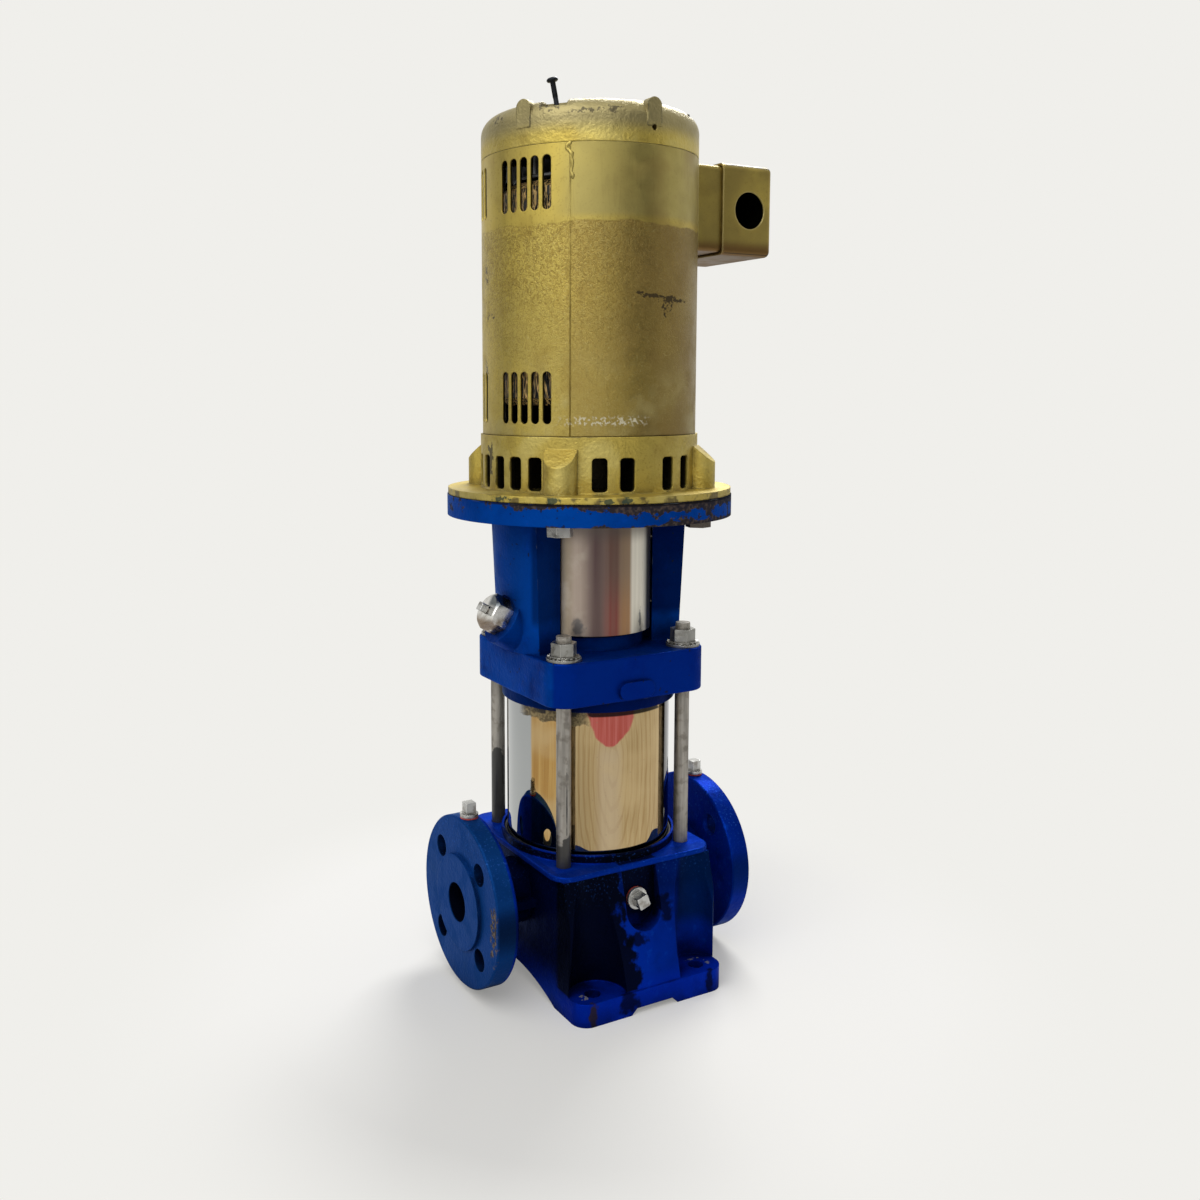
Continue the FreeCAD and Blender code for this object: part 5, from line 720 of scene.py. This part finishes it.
def satin_guard():
    """Satin sheet with painted reflections in upright bands: beige, mauve, rose, cream and a dark
    edge; painted dark reflections in two spots, and painted shade along the top.
    """
    metal = Finish("satin_guard", (0.48, 0.39, 0.325), metallic=0.88, roughness=0.30)
    across, away, z = metal.front_axes()
    near = metal.ramp(away, 0.010, 0.0)
    low = metal.ramp(z, 0.352, 0.305)
    streaks = metal.blotches(1.0, 0.30, 0.70, 3.0, 0.3, metal.stretched(260.0, 260.0, 5.0))

    def band(start, end, colour, amount, soft=0.004):
        mask = metal.both(near, metal.ramp(across, start - soft, start + soft),
                          metal.ramp(across, end + soft, end - soft))
        metal.tint(mask, colour, amount)

    # Painted reflections: the upright bands
    band(-0.060, -0.016, (0.385, 0.315, 0.225), 0.9)
    band(-0.004, 0.013, (0.085, 0.045, 0.052), 0.95, 0.008)
    band(0.011, 0.025, metal.mixed(low, (0.150, 0.075, 0.060), (0.240, 0.060, 0.050)), 0.95, 0.005)
    band(0.023, 0.034, metal.mixed(low, (0.30, 0.200, 0.120), (0.42, 0.215, 0.085)), 0.9, 0.003)
    band(0.0325, 0.0475, (0.88, 0.84, 0.72), 0.97, 0.0018)
    band(0.0465, 0.070, (0.022, 0.032, 0.036), 0.97, 0.0014)
    metal.tint(metal.both(streaks, near), (0.27, 0.215, 0.17), 0.22)
    mottle = metal.both(near, metal.ramp(across, 0.000, -0.010), metal.blotches(52.0, 0.50, 0.70))
    metal.tint(mottle, (0.56, 0.49, 0.41), 0.5)
    # Painted reflections: two dark spots low on the front
    dark = metal.either(
        metal.spot((-0.0335, -0.0398, 0.3020), (0.006, 0.008, 0.009), 0.5, 150.0, 0.6),
        metal.spot((0.0205, -0.0479, 0.3030), (0.0022, 0.004, 0.012), 0.5, 200.0, 0.6))
    metal.tint(metal.both(dark, near), (0.09, 0.10, 0.12), 0.7)
    # Painted shade: darker along the top
    metal.tint(metal.ramp(z, 0.366, 0.381), (0.12, 0.10, 0.09), 0.65)
    metal.dull(streaks, 0.40)
    metal.edges(0.0006)  # rounds the shading at the sheet's edges
    return metal.done()


def plain_metal(name, colour, roughness, dirt, brush=(60.0, 60.0, 60.0)):
    """Turned or plated steel with faint lines, a stain, dirt and painted shade in its corners, and
    painted highlights on its edges.
    """
    metal = Finish(name, colour, metallic=0.92, roughness=roughness)
    lines = metal.blotches(1.0, 0.30, 0.70, 3.0, 0.2, metal.stretched(*brush))
    deeper = tuple(0.45 * part for part in colour)
    metal.tint(lines, deeper, 0.7)
    metal.dull(metal.blotches(90.0, 0.35, 0.65), roughness + 0.2)
    metal.tint(metal.blotches(130.0, 0.50, 0.66), dirt, 0.55)
    # Dirt and painted shade in the corners
    metal.tint(metal.crevices(0.003, 120.0), dirt, 0.9)
    metal.raised(lines, 0.00002)
    # Painted highlights: the edges brighter
    bright = tuple(min(1.0, 1.7 * part) for part in colour)
    metal.tint(metal.edges(0.0006, 200.0, 0.3), bright, 0.7)
    return metal


def rod_steel():
    """Dull rods, with black paint low on the front rod and the left one."""
    metal = plain_metal("rod_steel", (0.40, 0.375, 0.335), 0.42, (0.14, 0.12, 0.10),
                        (300.0, 300.0, 20.0))
    x, y, z = metal.axes()
    jag = metal.times(metal.blotches(120.0, 0.3, 0.7), 0.012)
    level = metal.plus(z, jag)
    front = metal.both(metal.ramp(level, 0.145, 0.142), metal.ramp(y, -0.03, -0.05),
                       metal.ramp(x, -0.03, -0.05))
    back = metal.both(metal.ramp(level, 0.186, 0.183), metal.ramp(y, 0.03, 0.05),
                      metal.ramp(x, -0.03, -0.05))
    scratch = metal.spot((-0.0575, -0.0630, 0.165), (0.0007, 0.003, 0.030), 0.5, 90.0)
    paint = metal.either(front, back, scratch)
    metal.tint(paint, (0.020, 0.019, 0.017), 0.96)
    metal.bare(paint, 0.0)
    metal.dull(paint, 0.36)
    return metal.done()


def cast_steel():
    """Rough grey iron of the coupling."""
    metal = plain_metal("cast_steel", (0.20, 0.20, 0.21), 0.45, (0.03, 0.02, 0.015))
    metal.raised(metal.blotches(500.0, 0.3, 0.7), 0.0001)
    return metal.done()


def pale_plug():
    """Pale plugs with brown stains."""
    return plain_metal("pale_plug", (0.62, 0.62, 0.60), 0.24, (0.11, 0.08, 0.05)).done()


def vent_hexagon():
    """The vent plug, a painted dark reflection on its upper flats, the lower ones stained brown,
    and painted highlights on its edges.
    """
    metal = Finish("vent_hexagon", (0.70, 0.69, 0.66), metallic=0.95, roughness=0.16)
    metal.tint(metal.blotches(150.0, 0.50, 0.70), (0.40, 0.37, 0.33), 0.5)
    metal.dull(metal.blotches(90.0, 0.35, 0.65), 0.30)
    # Painted highlights: the edges near white
    metal.tint(metal.edges(0.0005, 200.0, 0.3), (0.95, 0.94, 0.92), 0.7)
    y, z = metal.axes()[1:]
    lower = metal.both(metal.ramp(z, 0.312, 0.306), metal.blotches(90.0, 0.30, 0.50))
    metal.tint(lower, (0.17, 0.105, 0.05), 0.85)
    # Painted reflection: the upper front flats dark
    upper = metal.both(metal.ramp(z, 0.316, 0.321), metal.ramp(y, 0.004, -0.002))
    metal.tint(upper, (0.022, 0.040, 0.055), 0.85)
    return metal.done()


def dark_bolts():
    """Steel bolts; those to the right are dark brown."""
    metal = plain_metal("dark_bolts", (0.56, 0.55, 0.52), 0.26, (0.05, 0.04, 0.03))
    x = metal.axes()[0]
    metal.tint(metal.ramp(x, 0.03, 0.05), (0.075, 0.055, 0.040), 0.9)
    return metal.done()


def black_bolt():
    return plain_metal("black_bolt", (0.030, 0.033, 0.040), 0.38, (0.008, 0.008, 0.008)).done()


def winding_wire():
    """Coil ends: black lacquered bundles with single tan strands and lacing."""
    metal = Finish("winding_wire", (0.010, 0.009, 0.008), metallic=0.1, roughness=0.42)
    wires = metal.swirls(1.0, 0.09, metal.stretched(230.0, 230.0, 42.0))
    metal.tint(metal.both(wires, metal.blotches(40.0, 0.30, 0.44)), (1.0, 0.66, 0.24), 1.0)
    bundles = metal.swirls(1.0, 0.10, metal.stretched(150.0, 150.0, 45.0))
    metal.raised(bundles, -0.0008)
    metal.tint(metal.blotches(25.0, 0.62, 0.70), (0.10, 0.045, 0.03), 0.6)
    return metal.done()


def core_sheets():
    """Stacked sheets of the stator and the rotor."""
    metal = Finish("core_sheets", (0.030, 0.032, 0.036), metallic=0.6, roughness=0.5)
    metal.tint(metal.blotches(1.0, 0.45, 0.55, 1.0, 0.0, metal.stretched(2.0, 2.0, 1400.0)),
               (0.010, 0.010, 0.011), 0.8)
    return metal.done()


def cast_alloy():
    metal = plain_metal("cast_alloy", (0.40, 0.41, 0.42), 0.5, (0.12, 0.11, 0.10))
    metal.raised(metal.blotches(700.0, 0.3, 0.7), 0.00006)
    return metal.done()


def soft_black():
    rubber = Finish("soft_black", (0.018, 0.018, 0.019), roughness=0.6)
    rubber.tint(rubber.blotches(150.0, 0.5, 0.7), (0.05, 0.045, 0.04), 0.6)
    rubber.raised(rubber.blotches(900.0, 0.3, 0.7), 0.00003)
    return rubber.done()


def red_fibre():
    fibre = Finish("red_fibre", (0.42, 0.05, 0.03), roughness=0.55)
    fibre.tint(fibre.blotches(300.0, 0.45, 0.65), (0.16, 0.02, 0.015), 0.6)
    fibre.raised(fibre.blotches(1200.0, 0.3, 0.7), 0.00005)
    return fibre.done()


def pressed_carbon():
    carbon = Finish("pressed_carbon", (0.03, 0.03, 0.033), metallic=0.2, roughness=0.3)
    carbon.tint(carbon.blotches(800.0, 0.4, 0.7), (0.07, 0.07, 0.075), 0.5)
    return carbon.done()


def bearing_bronze():
    return plain_metal("bearing_bronze", (0.60, 0.42, 0.20), 0.35, (0.10, 0.06, 0.03)).done()


# Finishes on the CAD nodes

FINISHES = {
    gold_frame: ["motor_frame"],
    gold_bell: ["motor_front_bell", "motor_rear_bell"],
    gold_box: ["conduit_box_base", "conduit_box_cover"],
    blue_foot: ["pump_foot"],
    blue_stool: ["motor_stool"],
    mirror_sleeve: ["outer_sleeve"],
    satin_guard: ["coupling_guard_front", "coupling_guard_rear"],
    rod_steel: ["tie_rods"],
    cast_steel: ["coupling_half_front", "coupling_half_rear"],
    pale_plug: ["bleed_screw", "drain_plug", "gauge_plugs"],
    vent_hexagon: ["vent_plug"],
    dark_bolts: ["motor_mount_bolts", "through_bolts", "coupling_bolts", "coupling_pin"],
    black_bolt: ["loose_through_bolt"],
    winding_wire: ["stator_windings"],
    core_sheets: ["stator_core", "rotor_core"],
    cast_alloy: ["motor_fan"],
    soft_black: ["sleeve_seals", "seal_bellows"],
    red_fibre: ["plug_seals"],
    pressed_carbon: ["seal_rotating_face", "seal_stationary_seat"],
    bearing_bronze: ["shaft_bushes"],
}


def finish_nodes():
    done = {}
    for maker, names in FINISHES.items():
        material = maker()
        for name in names:
            done[name] = material
    zinc = plain_metal("zinc_plate", ZINC, 0.24, (0.07, 0.06, 0.045)).done()
    turned_steel = plain_metal("turned_steel", STEEL, 0.28, (0.08, 0.065, 0.05)).done()
    for name, item in nodes.items():
        fallback = turned_steel
        if name in ("tie_rod_nuts", "tie_rod_washers", "guard_screws", "conduit_box_screws",
                    "seal_cover_screws"):
            fallback = zinc
        done.setdefault(name, fallback)
        for slot in item.material_slots:
            slot.material = done[name]
    return done


FINISHED = finish_nodes()


def add_object(name, data):
    item = bpy.data.objects.new(name, data)
    bpy.context.scene.collection.objects.link(item)
    return item


# Small pieces that the scene alone has

def new_piece(name, shape, material, smooth=True):
    mesh = bpy.data.meshes.new(name)
    bmesh.ops.recalc_face_normals(shape, faces=shape.faces)
    shape.to_mesh(mesh)
    shape.free()
    for face in mesh.polygons:
        face.use_smooth = smooth
    mesh.materials.append(material)
    piece = add_object(name, mesh)
    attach(piece, "housing")
    return piece


def frame_seam():
    """The weld seam down the frame, with a run of thick paint at its top."""
    shape = bmesh.new()
    ring = bmesh.ops.create_circle(shape, cap_ends=False, segments=10, radius=SEAM_RADIUS)
    edges = list({edge for vert in ring["verts"] for edge in vert.link_edges})
    made = bmesh.ops.extrude_edge_only(shape, edges=edges)
    top = [item for item in made["geom"] if isinstance(item, bmesh.types.BMVert)]
    bmesh.ops.translate(shape, verts=top, vec=(0, 0, FRAME_HEAD - FRAME_FOOT - 0.001))
    bmesh.ops.holes_fill(shape, edges=shape.edges)
    bmesh.ops.translate(shape, verts=shape.verts, vec=(0, 0, FRAME_FOOT + 0.0005))
    for (side, high, thick), (next_side, next_high, next_thick) in zip(PAINT_RUN, PAINT_RUN[1:]):
        for step in range(4):
            share = step / 4
            drop = bmesh.ops.create_icosphere(shape, subdivisions=2, radius=1.0)["verts"]
            wide = thick + (next_thick - thick) * share
            bmesh.ops.scale(shape, verts=drop, vec=(0.62 * wide, wide, 1.25 * wide))
            bmesh.ops.translate(shape, verts=drop, vec=(
                0.0, side + (next_side - side) * share, high + (next_high - high) * share))
    bmesh.ops.translate(shape, verts=shape.verts, vec=(FRAME_RADIUS, 0, 0))
    bmesh.ops.rotate(shape, verts=shape.verts, cent=(0, 0, 0),
                     matrix=Matrix.Rotation(SEAM_BEARING, 3, "Z"))
    new_piece("frame_seam", shape, FINISHED["motor_frame"])


def bell_ribs():
    """The tall ribs inside the front bell, on top of the low ones that carry its hub."""
    shape = bmesh.new()
    for step in range(RIBS):
        rib = bmesh.ops.create_cube(shape, size=1.0)["verts"]
        bmesh.ops.scale(shape, verts=rib, vec=RIB_SIZE)
        bmesh.ops.translate(shape, verts=rib, vec=RIB_PLACE)
        bmesh.ops.rotate(shape, verts=rib, cent=(0, 0, 0),
                         matrix=Matrix.Rotation(2 * math.pi * step / RIBS, 3, "Z"))
    bmesh.ops.bevel(shape, geom=shape.edges[:], offset=0.0008, affect="EDGES", segments=2,
                    profile=0.5, material=-1)
    new_piece("bell_ribs", shape, FINISHED["motor_front_bell"], smooth=False)


def washer_teeth():
    """The twisted teeth of the lock washers under the four rod nuts."""
    shape = bmesh.new()
    for corner in range(4):
        bearing = math.radians(45 + 90 * corner)
        middle = (ROD_CIRCLE * math.cos(bearing), ROD_CIRCLE * math.sin(bearing), WASHER_LEVEL)
        for step in range(WASHER_TEETH):
            tooth = bmesh.ops.create_cube(shape, size=1.0)["verts"]
            bmesh.ops.scale(shape, verts=tooth, vec=TOOTH_SIZE)
            bmesh.ops.rotate(shape, verts=tooth, cent=(0, 0, 0),
                             matrix=Matrix.Rotation(TOOTH_TWIST, 3, "X"))
            bmesh.ops.translate(shape, verts=tooth, vec=(TOOTH_OUT, 0, 0))
            turn = Matrix.Rotation(2 * math.pi * (step + 0.3 * corner) / WASHER_TEETH, 3, "Z")
            bmesh.ops.rotate(shape, verts=tooth, cent=(0, 0, 0), matrix=turn)
            bmesh.ops.translate(shape, verts=tooth, vec=middle)
    new_piece("washer_teeth", shape, FINISHED["tie_rod_washers"], smooth=False)


def rod_threads():
    """The threads at the tips of the rods, as rings with a sharp crest each."""
    shape = bmesh.new()
    for corner in range(4):
        bearing = math.radians(45 + 90 * corner)
        for step in range(4):
            thread = bmesh.ops.create_cone(shape, cap_ends=True, segments=28, radius1=0.00622,
                                           radius2=0.0056, depth=0.0010)["verts"]
            bmesh.ops.translate(shape, verts=thread, vec=(
                ROD_CIRCLE * math.cos(bearing), ROD_CIRCLE * math.sin(bearing),
                ROD_TIP - RING_PITCH - RING_PITCH * step))
    new_piece("rod_threads", shape, FINISHED["tie_rods"], smooth=False)


def loose_bolt():
    """The slim bolt that leans in the empty hole, its thread in rings down the shank."""
    shape = bmesh.new()
    profile = [(0.0, 0.0), (0.0014, 0.0)]
    high = 0.0006
    while high < THREAD_END:
        profile += [(0.0020, high), (0.0017, high + THREAD_PITCH / 2)]
        high += THREAD_PITCH
    head = ((0.0020, 0.0), (0.0038, 0.0002), (0.0044, 0.0010), (0.0043, 0.0019),
            (0.0034, 0.0027), (0.0016, 0.0030), (0.0, 0.0030))
    profile.append((0.0020, high))
    profile += [(radius, BOLT_NECK + rise) for radius, rise in head]
    verts = [shape.verts.new((radius, 0, level)) for radius, level in profile]
    lines = [shape.edges.new(pair) for pair in zip(verts, verts[1:])]
    bmesh.ops.spin(shape, geom=verts + lines, cent=(0, 0, 0), axis=(0, 0, 1),
                   angle=2 * math.pi, steps=24, use_merge=True)
    bmesh.ops.remove_doubles(shape, verts=shape.verts, dist=0.00001)
    lean = Matrix.Rotation(BOLT_LEAN, 3, LEAN_AXIS)
    bmesh.ops.translate(shape, verts=shape.verts, vec=(0, 0, -BOLT_SINK))
    bmesh.ops.rotate(shape, verts=shape.verts, cent=(0, 0, 0), matrix=lean)
    bmesh.ops.translate(shape, verts=shape.verts, vec=BOLT_HOLE)
    piece = new_piece("loose_bolt", shape, FINISHED["loose_through_bolt"])
    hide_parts("loose_through_bolt")


frame_seam()
bell_ribs()
washer_teeth()
rod_threads()
loose_bolt()


# Stage

def stage_piece(name, shape, material):
    mesh = bpy.data.meshes.new(name)
    shape.to_mesh(mesh)
    shape.free()
    mesh.materials.append(material)
    item = add_object(name, mesh)
    return item


def make_floor():
    """A pale floor: it glows for the camera away from the pump, so only the shadow shows."""
    shape = bmesh.new()
    bmesh.ops.create_grid(shape, x_segments=1, y_segments=1, size=6.0)
    material = bpy.data.materials.new("floor_paint")
    material.use_nodes = True
    tree = material.node_tree
    tree.nodes.remove(tree.nodes["Principled BSDF"])
    matt = put(tree, "ShaderNodeBsdfDiffuse", {"Color": (0.825, 0.813, 0.783, 1.0)}).outputs[0]
    glow = put(tree, "ShaderNodeEmission", {"Color": (*BACKGROUND, 1.0), "Strength": 1.0}
               ).outputs[0]
    place = put(tree, "ShaderNodeTexCoord").outputs["Object"]
    far = put(tree, "ShaderNodeVectorMath", {0: place}, operation="LENGTH").outputs["Value"]
    away = span(tree, far, 0.20, 0.44)
    seen = put(tree, "ShaderNodeLightPath").outputs["Is Camera Ray"]
    pale = sums(tree, "MAXIMUM", away, 0.28)
    fade = sums(tree, "MULTIPLY", pale, seen)
    both = put(tree, "ShaderNodeMixShader", {0: fade, 1: matt, 2: glow}).outputs[0]
    tree.links.new(both, tree.nodes["Material Output"].inputs["Surface"])
    stage_piece("floor", shape, material)


def make_world():
    world = bpy.data.worlds.new("studio")
    bpy.context.scene.world = world
    world.use_nodes = True
    tree = world.node_tree
    tree.nodes.clear()
    path = put(tree, "ShaderNodeLightPath").outputs
    seen = sums(tree, "MAXIMUM", path["Is Camera Ray"],
                sums(tree, "MAXIMUM", path["Is Glossy Ray"], path["Is Transmission Ray"]))
    soft = put(tree, "ShaderNodeBackground", {"Color": (0.95, 0.97, 1.0, 1.0), "Strength": 0.30}
               ).outputs[0]
    pale = put(tree, "ShaderNodeBackground", {"Color": (*BACKGROUND, 1.0), "Strength": 1.0}
               ).outputs[0]
    mixed = put(tree, "ShaderNodeMixShader", {0: seen, 1: soft, 2: pale}).outputs[0]
    out = put(tree, "ShaderNodeOutputWorld")
    tree.links.new(mixed, out.inputs["Surface"])


def add_lamp(name, place, aim, power, wide, tall):
    lamp = bpy.data.lights.new(name, "AREA")
    lamp.shape = "RECTANGLE"
    lamp.size = wide
    lamp.size_y = tall
    lamp.energy = power
    item = add_object(name, lamp)
    item.location = place
    item.rotation_euler = (Vector(aim) - Vector(place)).to_track_quat("-Z", "Y").to_euler()


def add_flag(name, place, aim, wide, tall):
    """A dark panel outside the picture that gives the metals something to mirror."""
    shape = bmesh.new()
    bmesh.ops.create_grid(shape, x_segments=1, y_segments=1, size=0.5)
    bmesh.ops.scale(shape, verts=shape.verts, vec=(wide, tall, 1.0))
    turn = (Vector(aim) - Vector(place)).to_track_quat("Z", "Y").to_matrix()
    bmesh.ops.rotate(shape, verts=shape.verts, cent=(0, 0, 0), matrix=turn)
    bmesh.ops.translate(shape, verts=shape.verts, vec=place)
    material = bpy.data.materials.new(name)
    material.use_nodes = True
    material.node_tree.nodes["Principled BSDF"].inputs["Base Color"].default_value = (
        0.03, 0.03, 0.035, 1.0)
    item = stage_piece(name, shape, material)
    item.visible_camera = False
    item.visible_diffuse = False
    item.visible_shadow = False


def make_camera():
    camera = bpy.data.cameras.new("camera")
    camera.sensor_width = 36.0
    camera.lens = 34.98
    camera.shift_x = 0.0627
    camera.shift_y = -0.0602
    camera.clip_end = 30.0
    item = add_object("camera", camera)
    turn = (Matrix.Rotation(-FRONT_TURN, 4, "Z")
            @ Matrix.Rotation(math.pi / 2 - CAMERA_RISE, 4, "X")
            @ Matrix.Rotation(CAMERA_ROLL, 4, "Z"))
    item.matrix_world = Matrix.Translation(CAMERA_PLACE) @ turn
    bpy.context.scene.camera = item


make_floor()
make_world()
add_lamp("key", (-1.3, -0.9, 2.1), (0, 0, 0.35), 41.0, 2.4, 2.4)
add_lamp("back", (1.0, 0.9, 1.9), (0, 0, 0.3), 34.0, 0.9, 0.9)
add_flag("flag_front_right", (0.60, -1.50, 1.05), (0, 0, 0.7), 1.1, 1.4)
add_flag("flag_right", (1.0, 0.42, -0.1), (0, 0, 0.4), 1.0, 0.9)
add_flag("flag_left", (-0.9, 0.75, 0.5), (0, 0, 0.4), 0.4, 1.8)
make_camera()
bpy.context.scene.view_settings.view_transform = "Standard"
